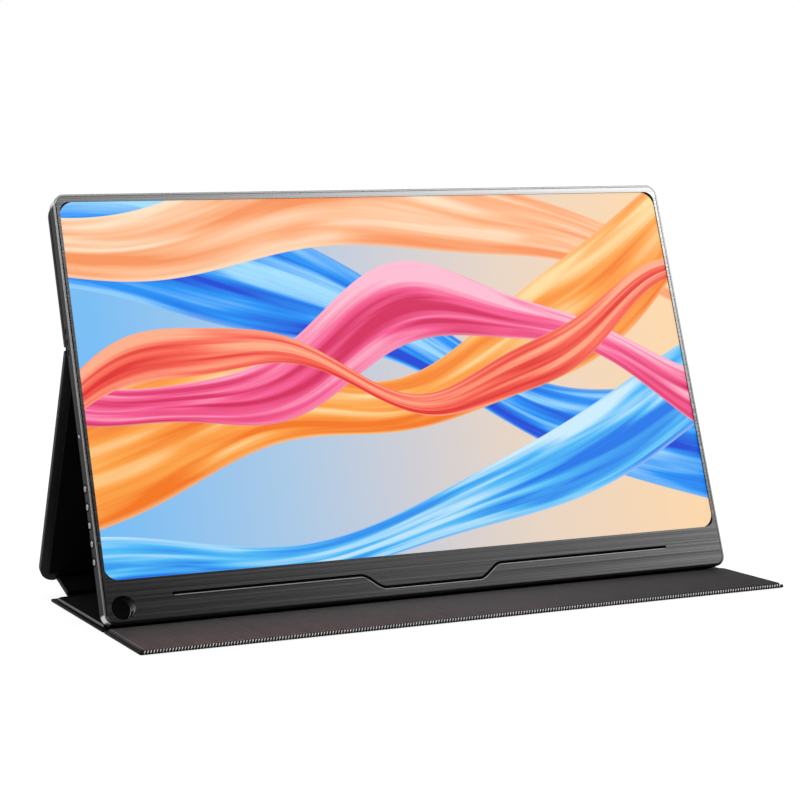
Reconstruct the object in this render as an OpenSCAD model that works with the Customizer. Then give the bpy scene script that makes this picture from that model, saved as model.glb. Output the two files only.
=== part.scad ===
// Portable monitor standing on its folding cover.
// Millimetres. The floor is z = 0, the screen faces -Y, and x = 0 is the middle of the body.
// The body is drawn in its own frame: x across, y into the body from the front plate, z up the face.
// Each cover panel is drawn flat from its fold line and then turned into the stand.

/* [Screen] */
// Width of the picture
screen_w = 344.2; // [300:0.1:360]
// Height of the picture
screen_h = 193.6; // [170:0.1:215]
// Corner radius of the window in the front plate
window_r = 5.5; // [2:0.5:8]

/* [Monitor body] */
// Body beside the picture
side_border = 2.9; // [2.8:0.1:8]
// Body above the picture
top_border = 4.1; // [3.8:0.1:10]
// Body below the picture
chin_h = 22; // [21:0.5:40]
// Thickness of the body
body_d = 9.2; // [9.2:0.1:12]
// Corner radius of the body
body_r = 6; // [4:0.5:9]
// Thickness of the side walls
side_wall = 1.5; // [1.3:0.1:1.8]
// Thickness of the back wall
back_wall = 1.2; // [0.8:0.1:1.3]
// Width of the rim around the front plate
rim_w = 1; // [0.8:0.1:1.2]
// Depth of the rim behind the plate's face
rim_drop = 0.25; // [0:0.05:0.5]
// Edge bevel on the back of the body
back_bevel = 1.2; // [0.6:0.1:2]
// Gap between the plate and the rim
plate_gap = 0.2; // [0.1:0.05:0.3]
// Thickness of the front plate
plate_t = 0.9; // [0.7:0.1:1.2]

/* [Groove in the front plate] */
// Half length of the groove
groove_reach = 139; // [100:1:150]
// Height of the outer stretches below the picture
groove_drop = 8.9; // [6:0.1:10]
// How far the middle stretch dips below the outer ones
groove_dip = 7.2; // [3:0.1:8]
// Half length of the middle stretch
groove_mid = 26.3; // [15:0.5:60]
// Run of each slanted stretch
groove_slant = 13.5; // [8:0.5:25]
// Width of the groove
groove_w = 1.5; // [0.8:0.1:2]
// Depth of the groove
groove_t = 0.45; // [0.2:0.05:0.6]

/* [Pen hole] */
// Radius of the hole for a pen
pen_r = 5.9; // [4:0.1:6]
// Centre of the hole from the left side of the body
pen_in = 9.9; // [9:0.1:20]
// Centre of the hole above the lower edge of the body
pen_up = 8.3; // [8.3:0.1:10]
// Wall of the sleeve in the hole
sleeve_wall = 0.6; // [0.4:0.1:0.6]
// Width of the window cut in the sleeve
sleeve_window = 4; // [2:0.5:5]

/* [Keys and side openings] */
// Height of the lowest key above the lower edge of the body
key_low = 32.5; // [28:0.5:40]
// Distance from key to key
key_pitch = 9.15; // [7:0.05:10]
// Radius of a key
key_r = 1.6; // [1.2:0.1:1.7]
// Travel of a key
key_travel = 0.3; // [0.2:0.05:0.4]
// How far a key stands out of the side
key_proud = 0.35; // [0.35:0.05:0.6]
// Radial clearance of a key in its bore
key_gap = 0.08; // [0.03:0.01:0.1]
// Radius of the dished recess around a key
dish_r = 2.7; // [2.2:0.1:3]
// Depth of the side openings behind the front
side_line = 5.8; // [5.8:0.1:6]
// Height of the pin hole above the top key
pinhole_over = 17.9; // [8:0.1:24]
// Height of the status light above the pin hole
light_over = 8.5; // [5:0.1:12]
// Height of the middle speaker slot
slot_up = 144; // [130:0.5:170]
// Distance from slot to slot
slot_pitch = 5.5; // [4.5:0.1:7]
// Length of a speaker slot
slot_l = 3.6; // [2.6:0.1:4]
// Width of a speaker slot
slot_w = 2; // [1:0.1:2.4]
// Height of the audio jack, below the picture
jack_up = 12; // [11:0.5:13]
// Height of the mini HDMI socket
hdmi_up = 60; // [52:0.5:64]

/* [Cover] */
// Height of the knee fold above the lower edge of the body
knee_up = 142.4; // [120:0.1:160]
// How much longer the leg is than the knee fold is high
leg_over = 1.3; // [0.8:0.1:3]
// Spine from fold to fold
spine_l = 26.4; // [24:0.1:32]
// How much narrower the spine is at each side
spine_in = 10; // [6:0.5:20]
// Thickness of the upper panel and of the leg
panel_t = 4.2; // [3.6:0.1:5]
// Thickness of the spine
spine_t = 3.4; // [2.8:0.1:3.6]
// Thickness of the outer skin
skin_t = 1.2; // [0.8:0.1:1.4]
// Thickness of the skin under the base
base_skin_t = 1.4; // [1.2:0.1:2]
// Height of the rear pad above the base skin
rear_pad_t = 1.2; // [1:0.1:1.6]
// Height of the front pad above the base skin
front_pad_t = 1; // [0.8:0.1:1.2]
// Depth of the front flap from its fold to its edge
flap_l = 61; // [50:0.5:90]
// Corner radius of the cover's free corners
cover_r = 8.5; // [5:0.5:12]
// Corner radius of the pads
pad_r = 4; // [2:0.5:6]
// Width of the skin turned over the panels' edges
hem_w = 4.5; // [3:0.5:8]
// Thickness of the lining
lining_t = 0.6; // [0.4:0.1:0.8]
// Gap between the cover and the back of the body
back_gap = 0.3; // [0.1:0.05:0.5]

/* [Stand] */
// Lean of the screen from upright
tilt = 19.1; // [12:0.1:24]
// Height of the fold at the foot of the leg above the floor
foot_up = 8; // [6:0.1:10]

/* [Hidden] */
$fn = 48;

key_count = 5;
slot_count = 3;
// clearance of pieces that lie on each other
snug = 0.05;
// clearance of a fold bead to the skins beside it
seat = 0.3;

// body
body_w = screen_w + 2 * side_border;
body_h = chin_h + screen_h + top_border;
plate_w = body_w - 2 * (rim_w + plate_gap);
plate_h = body_h - 2 * (rim_w + plate_gap);
plate_z = rim_w + plate_gap;
plate_r = body_r - rim_w - plate_gap;
cavity_w = body_w - 2 * side_wall;
inner_x = cavity_w / 2;
back_in = body_d - back_wall;
side_x = body_w / 2;
pen_x = pen_in - side_x;
pinhole_up = key_low + (key_count - 1) * key_pitch + pinhole_over;
light_up = pinhole_up + light_over;
sleeve_r = pen_r + sleeve_wall;

// display stack, front to back
gasket_t = 0.3;
front_t = 0.5;
lcd_t = 0.6;
diffuser_t = 0.3;
guide_t = 0.8;
reflector_t = 0.2;
tray_t = 0.3;
cell_side = side_border - side_wall - 0.3;
cell_top = 1.4;
cell_low = 4;
cell_w = screen_w + 2 * cell_side;
cell_h = screen_h + cell_top + cell_low;
cell_z = chin_h - cell_low;
cell_r = body_r - side_wall - 0.3;
front_y = plate_t + gasket_t;
lcd_y = front_y + front_t + snug;
diffuser_y = lcd_y + lcd_t + snug;
guide_y = diffuser_y + diffuser_t + snug;
reflector_y = guide_y + guide_t + snug;
tray_y = reflector_y + reflector_t + snug;
tray_back = tray_y + tray_t;
led_h = 1.6;

// electronics
board_t = 0.8;
board_y = side_line - board_t / 2;
board_back = board_y + board_t;
board_l = 76;
board_under = 22;
board_over = 20;
usb_over = 17;
usb_pitch = 15;
usb_low_up = hdmi_up + usb_over;
usb_high_up = usb_low_up + usb_pitch;
board_low = hdmi_up - board_under;
board_high = usb_high_up + board_over;
post_in = 5;
post_low = 4;
tail_l = 22;
tail_over = 2;
socket_in = side_x - 0.5;
usb_w = 8.9;
usb_t = 3.2;
usb_l = 7.3;
hdmi_w = 11;
hdmi_t = 3.1;
hdmi_l = 7.5;
jack_t = 4.2;
jack_w = 6;
jack_l = 13;
jack_r = 1.75;
jack_y = back_in - snug - jack_t / 2;
post_r = 1.8;
screw_r = 0.7;
screw_gap = 0.06;
head_r = 1.5;
head_t = 0.7;
tab_w = 8;
tab_h = 6;
tab_xs = [-0.35, -0.175, 0, 0.175, 0.35] * screen_w;
switch_l = 3;
switch_h = 3.6;
stem_r = 0.6;
flange_t = 0.5;
flange_x = -inner_x + snug;
stem_end = flange_x + flange_t + 1;
stem_in = 0.4;
switch_x = stem_end - stem_in;
switch_y0 = tray_back + 0.3;
switch_y1 = side_line + key_r;
key_board_x = switch_x + 1;
key_board_w = 8;
speaker_w = 13;
speaker_h = 34;
speaker_y0 = tray_back + 0.3;
speaker_y1 = back_in - snug;
magnet_r = 6;
magnet_t = 1.4;
magnet_xs = [-0.375, -0.145, 0.145, 0.375] * body_w;
magnet_z = (knee_up + body_h) / 2;

// cover
cover_w = body_w;
panel_y0 = body_d + back_gap;
panel_y1 = panel_y0 + panel_t;
fold_r = skin_t / 2;
fold_y = panel_y1 - fold_r;
skin_end = fold_r + seat;
board_fold_gap = 4.5;
leg_l = knee_up + leg_over;
leg_free_end = leg_l - 0.8;
spine_w = cover_w - 2 * spine_in;
notch_w = spine_w + 1;
base_fold_r = base_skin_t / 2;
base_skin_end = base_fold_r + seat;
pad_in = 2.3;
flap_pad_in = 1;
binding_r = 1.1;

// stand: the body's lower rear edge stands on the base skin
stand_gap = 0.05;
face_z = base_skin_t + stand_gap + (body_d - back_bevel) * sin(tilt);
knee_z = face_z - fold_y * sin(tilt) + knee_up * cos(tilt);
leg_fold_z = foot_up;
leg_lean = acos((knee_z - leg_fold_z) / leg_l);
spine_fold_z = base_fold_r;
spine_rise = asin((leg_fold_z - spine_fold_z) / spine_l);

// reach of the folds behind the screen's lower edge, and the centring of the whole in y
knee_reach = fold_y * cos(tilt) + knee_up * sin(tilt);
leg_reach = knee_reach + leg_l * sin(leg_lean);
flap_reach = body_d * cos(tilt) - 4;
face_y = -(flap_reach - flap_l + leg_reach + fold_r) / 2;
knee_y = face_y + knee_reach;
leg_fold_y = face_y + leg_reach;
spine_fold_y = leg_fold_y - spine_l * cos(spine_rise);
flap_fold_y = face_y + flap_reach;
pad_start_y = face_y + body_d * cos(tilt) + back_bevel * sin(tilt) + 1.1;

// frames

module body_frame() {
  translate([0, face_y, face_z]) rotate([-tilt, 0, 0]) children();
}

// the leg is drawn lying on the back of the body
module leg_frame() {
  translate([0, knee_y, knee_z]) rotate([leg_lean, 0, 0]) translate([0, -fold_y, -knee_up]) children();
}

// y runs from the base fold to the leg fold, z = 0 is the middle of the skin
module spine_frame() {
  translate([0, spine_fold_y, spine_fold_z]) rotate([spine_rise, 0, 0]) children();
}

// shapes

// an outline in x and z, standing from depth y0 to y1
module stand_up(y0, y1) {
  translate([0, y1, 0]) rotate([90, 0, 0]) linear_extrude(y1 - y0) children();
}

// rectangle on z = 0 upwards with its own radius at the lower and the upper corners
module round_rect(w, h, r_low, r_high) {
  union() {
    translate([-w / 2, r_low]) square([w, h - r_low - r_high]);
    translate([-w / 2 + r_low, 0]) square([w - 2 * r_low, r_low + 1]);
    translate([-w / 2 + r_high, h - r_high - 1]) square([w - 2 * r_high, r_high + 1]);
    for (s = [-1, 1]) {
      translate([s * (w / 2 - r_low), r_low]) circle(r_low);
      translate([s * (w / 2 - r_high), h - r_high]) circle(r_high);
    }
  }
}

// half outline of a plate's edge that reaches from a to b, bevelled at b
function edge_outline(a, b, y0, y1, c0, c1) =
  [[a, y0], [b - c0, y0], [b, y0 + c0], [b, y1 - c1], [b - c1, y1], [a, y1]];

// plate from depth y0 to y1 with bevelled edges, c0 in front and c1 behind
module bevel_plate(w, h, r_low, r_high, y0, y1, c0, c1) {
  // sides
  translate([0, 0, r_low]) linear_extrude(h - r_low - r_high)
    union() {
      polygon(edge_outline(-1, w / 2, y0, y1, c0, c1));
      mirror([1, 0]) polygon(edge_outline(-1, w / 2, y0, y1, c0, c1));
    }
  // upper and lower edge
  rotate([0, -90, 0]) linear_extrude(w - 2 * r_high, center = true)
    polygon(edge_outline(h - r_high - 1, h, y0, y1, c0, c1));
  translate([0, 0, r_low + 1]) mirror([0, 0, 1]) rotate([0, -90, 0])
    linear_extrude(w - 2 * r_low, center = true)
    polygon(edge_outline(0, r_low + 1, y0, y1, c0, c1));
  for (s = [-1, 1]) {
    translate([s * (w / 2 - r_low), 0, r_low]) rotate([-90, 0, 0])
      rotate_extrude() polygon(edge_outline(0, r_low, y0, y1, c0, c1));
    translate([s * (w / 2 - r_high), 0, h - r_high]) rotate([-90, 0, 0])
      rotate_extrude() polygon(edge_outline(0, r_high, y0, y1, c0, c1));
  }
}

// round bar along y
module bar_y(x, z, r, y0, y1) {
  translate([x, y0, z]) rotate([-90, 0, 0]) cylinder(r = r, h = y1 - y0);
}

// round bar along x
module bar_x(x0, x1, y, z, r) {
  translate([x0, y, z]) rotate([0, 90, 0]) cylinder(r = r, h = x1 - x0);
}

// slot with round ends along z, running through x
module slot_x(x0, x1, y, z, w, l) {
  translate([x0, y - w / 2, z - (l - w) / 2]) cube([x1 - x0, w, l - w]);
  for (s = [-1, 1]) bar_x(x0, x1, y, z + s * (l - w) / 2, w / 2);
}

function key_z(i) = key_low + (key_count - i) * key_pitch;

// groove: centre line with round bends, as an outline of even width

groove_x1 = groove_mid;
groove_x2 = groove_mid + groove_slant;
bend_steps = 6;

// height of the centre line above its low middle stretch
function groove_rise(x) =
  let (t = min(max((abs(x) - groove_x1) / (groove_x2 - groove_x1), 0), 1))
  groove_dip * (t * t * (3 - 2 * t));
function groove_slope(x) = (groove_rise(x + 0.01) - groove_rise(x - 0.01)) / 0.02;
function side_xs(s) =
  [for (i = [0:2 * bend_steps]) s * (groove_x1 + (groove_x2 - groove_x1) * i / (2 * bend_steps))];
groove_xs = concat([-groove_reach],
                   [for (i = [2 * bend_steps:-1:0]) side_xs(-1)[i]], side_xs(1), [groove_reach]);
groove_z = chin_h - groove_drop - groove_dip;
function groove_point(x, s) =
  let (m = groove_slope(x), k = s * groove_w / 2 / sqrt(1 + m * m))
  [x - m * k, groove_z + groove_rise(x) + k];

module groove_outline() {
  polygon(concat([for (x = groove_xs) groove_point(x, 1)],
                 [for (i = [len(groove_xs) - 1:-1:0]) groove_point(groove_xs[i], -1)]));
  for (s = [-1, 1]) translate([s * groove_reach, groove_z + groove_dip]) circle(groove_w / 2);
}

// monitor body

// openings in the left wall: dished key bores, pin hole, status light and speaker slots
module left_openings() {
  for (i = [1:key_count]) {
    bar_x(-side_x - 1, -inner_x + 1, side_line, key_z(i), key_r + key_gap);
    translate([-side_x - 0.01, side_line, key_z(i)]) rotate([0, 90, 0])
      cylinder(r1 = dish_r, r2 = key_r + key_gap, h = side_wall / 2);
  }
  bar_x(-side_x - 1, -inner_x + 1, side_line, pinhole_up, 0.5);
  bar_x(-side_x - 1, -inner_x + 1, side_line, light_up, 0.8 + screw_gap);
}

module speaker_slots(x0, x1) {
  for (i = [0:slot_count - 1])
    slot_x(x0, x1, side_line, slot_up + (i - (slot_count - 1) / 2) * slot_pitch, slot_w, slot_l);
}

module right_openings() {
  slot_x(inner_x - 1, side_x + 1, side_line, usb_high_up, usb_t + 0.3, usb_w + 0.3);
  slot_x(inner_x - 1, side_x + 1, side_line, usb_low_up, usb_t + 0.3, usb_w + 0.3);
  translate([inner_x - 1, side_line - hdmi_t / 2 - 0.15, hdmi_up - hdmi_w / 2 - 0.15])
    cube([side_wall + 2, hdmi_t + 0.3, hdmi_w + 0.3]);
  bar_x(inner_x - 1, side_x + 1, jack_y, jack_up, jack_t / 2 + snug);
}

function board_posts() =
  [for (x = [inner_x - post_in, inner_x - board_l + post_in])
   for (z = [board_low + post_low, board_high - post_low]) [x, z]];

module rear_shell() color([0.24, 0.24, 0.25]) body_frame() {
  difference() {
    union() {
      difference() {
        bevel_plate(body_w, body_h, body_r, body_r, rim_drop, body_d, 0.4, back_bevel);
        translate([0, 0, side_wall]) stand_up(-1, back_in)
          round_rect(cavity_w, body_h - 2 * side_wall, body_r - side_wall, body_r - side_wall);
        translate([0, 0, rim_w]) stand_up(-1, plate_t + snug)
          round_rect(body_w - 2 * rim_w, body_h - 2 * rim_w, body_r - rim_w, body_r - rim_w);
      }
      // posts for the tray's tabs and for the main board
      for (x = tab_xs) bar_y(x, cell_z - tab_h / 2, post_r, tray_back, back_in + 0.1);
      for (p = board_posts()) bar_y(p[0], p[1], post_r, board_back, back_in + 0.1);
      // ribs that carry the tray in its middle
      for (x = [-0.22, 0, 0.22] * body_w)
        translate([x - 0.6, tray_back + snug, chin_h + 45])
          cube([1.2, back_in - tray_back, screen_h / 2]);
    }
    for (x = tab_xs) bar_y(x, cell_z - tab_h / 2, screw_r + screw_gap, tray_back - 1, back_in - 0.6);
    for (p = board_posts()) bar_y(p[0], p[1], screw_r + screw_gap, board_back - 1, back_in - 0.3);
    bar_y(pen_x, pen_up, sleeve_r + snug, back_in - 1, body_d + 1);
    left_openings();
    right_openings();
    speaker_slots(-side_x - 1, -inner_x + 1);
    speaker_slots(inner_x - 1, side_x + 1);
  }
}

module front_bezel() color([0.3, 0.3, 0.31]) body_frame()
  difference() {
    translate([0, 0, plate_z])
      bevel_plate(plate_w, plate_h, plate_r, plate_r, 0, plate_t, 0.2, 0.05);
    translate([0, 0, chin_h]) stand_up(-1, plate_t + 1)
      round_rect(screen_w, screen_h, window_r, window_r);
    stand_up(-1, groove_t) groove_outline();
    bar_y(pen_x, pen_up, pen_r, -1, plate_t + 1);
  }

// tube from the plate through the back, with a small window towards the lower right
module pen_sleeve() color([0.12, 0.12, 0.13]) body_frame()
  difference() {
    bar_y(pen_x, pen_up, sleeve_r, plate_t + snug, body_d);
    bar_y(pen_x, pen_up, pen_r, plate_t - 1, body_d + 1);
    translate([pen_x, 0, pen_up]) rotate([0, 32, 0])
      translate([pen_r / 2, plate_t + 1.6, -sleeve_window / 2])
      cube([pen_r, body_d - plate_t - 3.6, sleeve_window]);
  }

module display_gasket() color([0.05, 0.05, 0.05]) body_frame()
  stand_up(plate_t, plate_t + gasket_t) difference() {
    translate([0, cell_z]) round_rect(cell_w, cell_h, 1, cell_r);
    translate([0, chin_h - 0.2])
      round_rect(screen_w + 0.4, screen_h + 0.4, window_r, window_r);
  }

module cell_sheet(y0, t, inset) {
  translate([0, 0, cell_z + inset]) stand_up(y0, y0 + t)
    round_rect(cell_w - 2 * inset, cell_h - 2 * inset, 0.8, cell_r - inset);
}

module screen_front() color([0.55, 0.72, 0.9]) body_frame() cell_sheet(front_y, front_t, 0);
module lcd_cell() color([0.1, 0.1, 0.14]) body_frame() cell_sheet(lcd_y, lcd_t, 0);
module diffuser_sheet() color([0.93, 0.93, 0.9]) body_frame() cell_sheet(diffuser_y, diffuser_t, 0.5);
module reflector_sheet() color([0.96, 0.96, 0.96]) body_frame() cell_sheet(reflector_y, reflector_t, 0.5);

// the guide stops above the light strip
module light_guide() color([0.8, 0.88, 0.92]) body_frame() difference() {
  cell_sheet(guide_y, guide_t, 0.5);
  translate([-cell_w / 2, guide_y - 1, cell_z - 1]) cube([cell_w, guide_t + 2, led_h + 1.6]);
}

module led_strip() color([0.9, 0.85, 0.55]) body_frame() {
  strip_w = cell_w - 8;
  translate([-strip_w / 2, guide_y, cell_z + 0.5]) cube([strip_w, guide_t, led_h]);
}

// metal pan behind the stack, with folded sides and screw tabs
module panel_tray() color([0.7, 0.71, 0.72]) body_frame() difference() {
  union() {
    translate([0, 0, cell_z]) stand_up(diffuser_y, tray_back) round_rect(cell_w, cell_h, 1, cell_r);
    for (x = tab_xs)
      translate([x - tab_w / 2, tray_y, cell_z - tab_h]) cube([tab_w, tray_t, tab_h + 1]);
  }
  translate([0, 0, cell_z + 0.4]) stand_up(diffuser_y - 1, tray_y)
    round_rect(cell_w - 0.8, cell_h - 0.8, 0.8, cell_r - 0.4);
  for (x = tab_xs) bar_y(x, cell_z - tab_h / 2, screw_r + 0.2, tray_y - 1, tray_back + 1);
}

// screw with its head in front of depth y and its shank behind
module screw(x, z, y, l) {
  bar_y(x, z, head_r, y - head_t, y);
  bar_y(x, z, screw_r, y - 0.1, y + l);
}

module tray_screws() color([0.75, 0.75, 0.77]) body_frame()
  for (x = tab_xs) screw(x, cell_z - tab_h / 2, tray_y, 3);

module board_screws() color([0.75, 0.75, 0.77]) body_frame()
  for (p = board_posts()) screw(p[0], p[1], board_y, board_t + 1.2);

// sockets stand in notches of the main board, whose tail runs down to the audio jack
module main_board() color([0.05, 0.32, 0.16]) body_frame() difference() {
  union() {
    translate([inner_x - board_l, board_y, board_low])
      cube([board_l - snug, board_t, board_high - board_low]);
    translate([inner_x - tail_l, board_y, jack_up - jack_w / 2 - tail_over])
      cube([tail_l - snug, board_t, board_low - jack_up + jack_w / 2 + 2 * tail_over]);
  }
  for (z = [usb_low_up, usb_high_up])
    translate([socket_in - usb_l - 0.1, board_y - 1, z - usb_w / 2 - 0.1])
      cube([usb_l + 2, board_t + 2, usb_w + 0.2]);
  translate([socket_in - hdmi_l - 0.1, board_y - 1, hdmi_up - hdmi_w / 2 - 0.1])
    cube([hdmi_l + 2, board_t + 2, hdmi_w + 0.2]);
  translate([socket_in - jack_l - 0.1, board_y - 1, jack_up - jack_w / 2 - 0.1])
    cube([jack_l + 2, board_t + 2, jack_w + 0.2]);
  for (p = board_posts()) bar_y(p[0], p[1], screw_r + 0.2, board_y - 1, board_back + 1);
}

module chip(x, z, w, h, t) {
  translate([x - w / 2, board_back, z - h / 2]) cube([w, t, h]);
}

// the large chip drives the panel; the others sit around it on the same board
chip_x = inner_x - board_l / 2;
chip_t = 1;
scaler_w = 14;
scaler_z = board_high - 1.5 * scaler_w;
memory_w = 6;
bridge_w = 8;
power_w = 3.2;
power_count = 4;
module board_chips() color([0.08, 0.08, 0.08]) body_frame() {
  chip(chip_x, scaler_z, scaler_w, scaler_w, chip_t);
  chip(chip_x - 3 * memory_w, scaler_z, memory_w, bridge_w, chip_t);
  chip(chip_x, board_low + 3.5 * bridge_w, bridge_w, bridge_w, chip_t);
  chip(chip_x - 3 * memory_w, board_low + 3.5 * bridge_w, memory_w, memory_w, chip_t);
  for (i = [0:power_count - 1])
    chip(chip_x - 2 * (power_count - i) * power_w, board_low + 3.5 * power_w, power_w, power_w, chip_t);
}

// soft pad that carries heat from the large chip to the back wall
module heat_pad() color([0.6, 0.65, 0.7]) body_frame()
  translate([chip_x - scaler_w / 2, board_back + chip_t, scaler_z - scaler_w / 2])
    cube([scaler_w, back_in - board_back - chip_t, scaler_w]);

// open shell of a socket with a tongue in the middle
module usb_socket(z) {
  x0 = socket_in - usb_l;
  difference() {
    slot_x(x0, socket_in, side_line, z, usb_t, usb_w);
    slot_x(x0 + 1, socket_in + 1, side_line, z, usb_t - 0.6, usb_w - 0.6);
  }
  translate([x0 + 0.5, side_line - 0.35, z - 3.2]) cube([usb_l - 1.5, 0.7, 6.4]);
}

module usb_c_socket_1() color([0.78, 0.78, 0.8]) body_frame() usb_socket(usb_low_up);
module usb_c_socket_2() color([0.78, 0.78, 0.8]) body_frame() usb_socket(usb_high_up);

module mini_hdmi_socket() color([0.78, 0.78, 0.8]) body_frame() {
  x0 = socket_in - hdmi_l;
  difference() {
    translate([x0, side_line - hdmi_t / 2, hdmi_up - hdmi_w / 2]) cube([hdmi_l, hdmi_t, hdmi_w]);
    translate([x0 + 1, side_line - hdmi_t / 2 + 0.3, hdmi_up - hdmi_w / 2 + 0.3])
      cube([hdmi_l, hdmi_t - 0.6, hdmi_w - 0.6]);
  }
  translate([x0 + 0.5, side_line - 0.3, hdmi_up - 3.8]) cube([hdmi_l - 1.5, 0.6, 7.6]);
}

module audio_jack() color([0.1, 0.1, 0.1]) body_frame() {
  x0 = socket_in - jack_l;
  difference() {
    union() {
      translate([x0, jack_y - jack_t / 2, jack_up - jack_w / 2])
        cube([inner_x - snug - x0, jack_t, jack_w]);
      bar_x(x0, socket_in, jack_y, jack_up, jack_t / 2);
    }
    bar_x(x0 + 1, socket_in + 1, jack_y, jack_up, jack_r);
  }
}

// narrow board along the left wall, with a side-pressed switch behind each key
module button_board() color([0.05, 0.32, 0.16]) body_frame()
  translate([key_board_x, switch_y1 + snug, key_low - 5])
    cube([key_board_w, min(board_t, back_in - switch_y1 - 2 * snug), light_up - key_low + 10]);

module switch_box(z, bored) difference() {
  translate([switch_x, switch_y0, z - switch_h / 2])
    cube([switch_l, switch_y1 - switch_y0, switch_h]);
  if (bored)
    bar_x(switch_x - 1, stem_end + key_travel + 0.3, side_line, z, stem_r + key_gap);
}

module key_switches() color([0.15, 0.15, 0.16]) body_frame() {
  for (i = [1:key_count]) switch_box(key_z(i), true);
  switch_box(pinhole_up, false);
}

module status_light_pipe() color([0.9, 0.92, 0.95]) body_frame()
  bar_x(-side_x + 0.05, key_board_x + 1, side_line, light_up, 0.8);

// cap, retaining bar inside the wall and stem into the switch
module key(i) color([0.1, 0.1, 0.1]) body_frame() {
  bevel = 0.25;
  bar_x(-side_x - key_proud + bevel, flange_x + 0.1, side_line, key_z(i), key_r);
  translate([-side_x - key_proud, side_line, key_z(i)]) rotate([0, 90, 0])
    cylinder(r1 = key_r - bevel, r2 = key_r, h = bevel);
  translate([flange_x, side_line - key_r + 0.2, key_z(i) - key_r - 0.8])
    cube([flange_t, 2 * key_r - 0.4, 2 * key_r + 1.6]);
  bar_x(flange_x + 0.1, stem_end, side_line, key_z(i), stem_r);
}

module button_1() key(1);
module button_2() key(2);
module button_3() key(3);
module button_4() key(4);
module button_5() key(5);

// flat speaker box whose mouth faces the slots
module speaker() {
  difference() {
    translate([-inner_x + 0.3, speaker_y0, slot_up - speaker_h / 2])
      cube([speaker_w, speaker_y1 - speaker_y0, speaker_h]);
    translate([-inner_x, side_line - slot_w / 2 - 0.2, slot_up - slot_pitch - slot_l / 2])
      cube([4, slot_w + 0.4, 2 * slot_pitch + slot_l]);
  }
}

module speaker_left() color([0.12, 0.12, 0.12]) body_frame() speaker();
module speaker_right() color([0.12, 0.12, 0.12]) body_frame() mirror([1, 0, 0]) speaker();

ribbon_t = 0.2;

// flat cable from the panel's lower edge, round the tray and up to its plug on the board
module panel_ribbon() color([0.75, 0.55, 0.2]) body_frame() {
  w = 34;
  x1 = inner_x - board_l + 10;
  low_z = cell_z - tab_h;
  plug_z = board_low + 8;
  translate([x1 - w, lcd_y, low_z]) cube([w, ribbon_t, cell_z - low_z]);
  translate([x1 - w, lcd_y, low_z]) cube([w, tray_back + snug + ribbon_t - lcd_y, ribbon_t]);
  translate([x1 - w, tray_back + snug, low_z]) cube([w, ribbon_t, plug_z - low_z + 16]);
  translate([x1 - 8, tray_back + snug, plug_z]) cube([6, board_y - tray_back - snug, 16]);
}

// flat cable from the key board to the main board, along the back wall
module button_ribbon() color([0.85, 0.85, 0.82]) body_frame() {
  x0 = key_board_x + key_board_w;
  x1 = inner_x - board_l + 3;
  w = 7;
  z = board_low + 10;
  y = back_in - snug - ribbon_t;
  translate([x0, y, z]) cube([x1 - x0, ribbon_t, w]);
  translate([x1 - 3, board_back, z]) cube([3, y + ribbon_t - board_back, w]);
}

module housing_magnets() color([0.6, 0.6, 0.62]) body_frame()
  for (x = magnet_xs) bar_y(x, magnet_z, magnet_r, back_in - magnet_t, back_in);

// cover panels

// skin with a pocket for its board and a window inside its hem for the lining
module panel_skin(w, h, r_low, r_high) {
  difference() {
    bevel_plate(w, h, r_low, r_high, panel_y0, panel_y1, 0.5, 0.8);
    translate([0, 0, 1.5]) stand_up(panel_y0 + lining_t, panel_y1 - skin_t)
      round_rect(w - 3, h - 3, max(r_low - 1.5, 0.6), max(r_high - 1.5, 0.6));
    translate([0, 0, hem_w]) stand_up(panel_y0 - 1, panel_y0 + lining_t + 0.1)
      round_rect(w - 2 * hem_w, h - 2 * hem_w, max(r_low - hem_w, 0.8), max(r_high - hem_w, 0.8));
  }
}

module panel_board(w, h, r_low, r_high) {
  translate([0, 0, 1.5 + snug]) stand_up(panel_y0 + lining_t + snug, panel_y1 - skin_t)
    round_rect(w - 3 - 2 * snug, h - 3 - 2 * snug, max(r_low - 1.5, 0.6), max(r_high - 1.5, 0.6));
}

module panel_lining(w, h, r_low, r_high) {
  translate([0, 0, hem_w + snug]) stand_up(panel_y0, panel_y0 + lining_t)
    round_rect(w - 2 * hem_w - 2 * snug, h - 2 * hem_w - 2 * snug,
               max(r_low - hem_w, 0.8), max(r_high - hem_w, 0.8));
}

// upper panel on the back of the body
upper_z = knee_up + skin_end;
upper_h = body_h - upper_z;
edge_r = 1;

module at_upper() body_frame() translate([0, 0, upper_z]) children();

module upper_skin() color([0.06, 0.06, 0.06])
  at_upper() panel_skin(cover_w, upper_h, edge_r, cover_r);

module magnet_row(z, r, t, y0) {
  for (x = magnet_xs) bar_y(x, z, r, y0, y0 + t);
}

board_face_y = panel_y0 + lining_t + snug;
module upper_board() color([0.45, 0.42, 0.38]) difference() {
  at_upper() panel_board(cover_w, upper_h, edge_r, cover_r);
  body_frame() magnet_row(magnet_z, magnet_r + snug, magnet_t + 1, board_face_y - 1);
}

module upper_lining() color([0.09, 0.09, 0.09])
  at_upper() panel_lining(cover_w, upper_h, edge_r, cover_r);

module cover_magnets() color([0.6, 0.6, 0.62])
  body_frame() magnet_row(magnet_z, magnet_r, magnet_t, board_face_y);

// the folds are round beads on the fold lines
module knee_fold() color([0.06, 0.06, 0.06])
  translate([0, knee_y, knee_z]) bar_x(-cover_w / 2 + 1, cover_w / 2 - 1, 0, 0, fold_r);

module leg_fold() color([0.06, 0.06, 0.06])
  translate([0, leg_fold_y, leg_fold_z]) bar_x(-spine_w / 2, spine_w / 2, 0, 0, fold_r);

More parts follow.
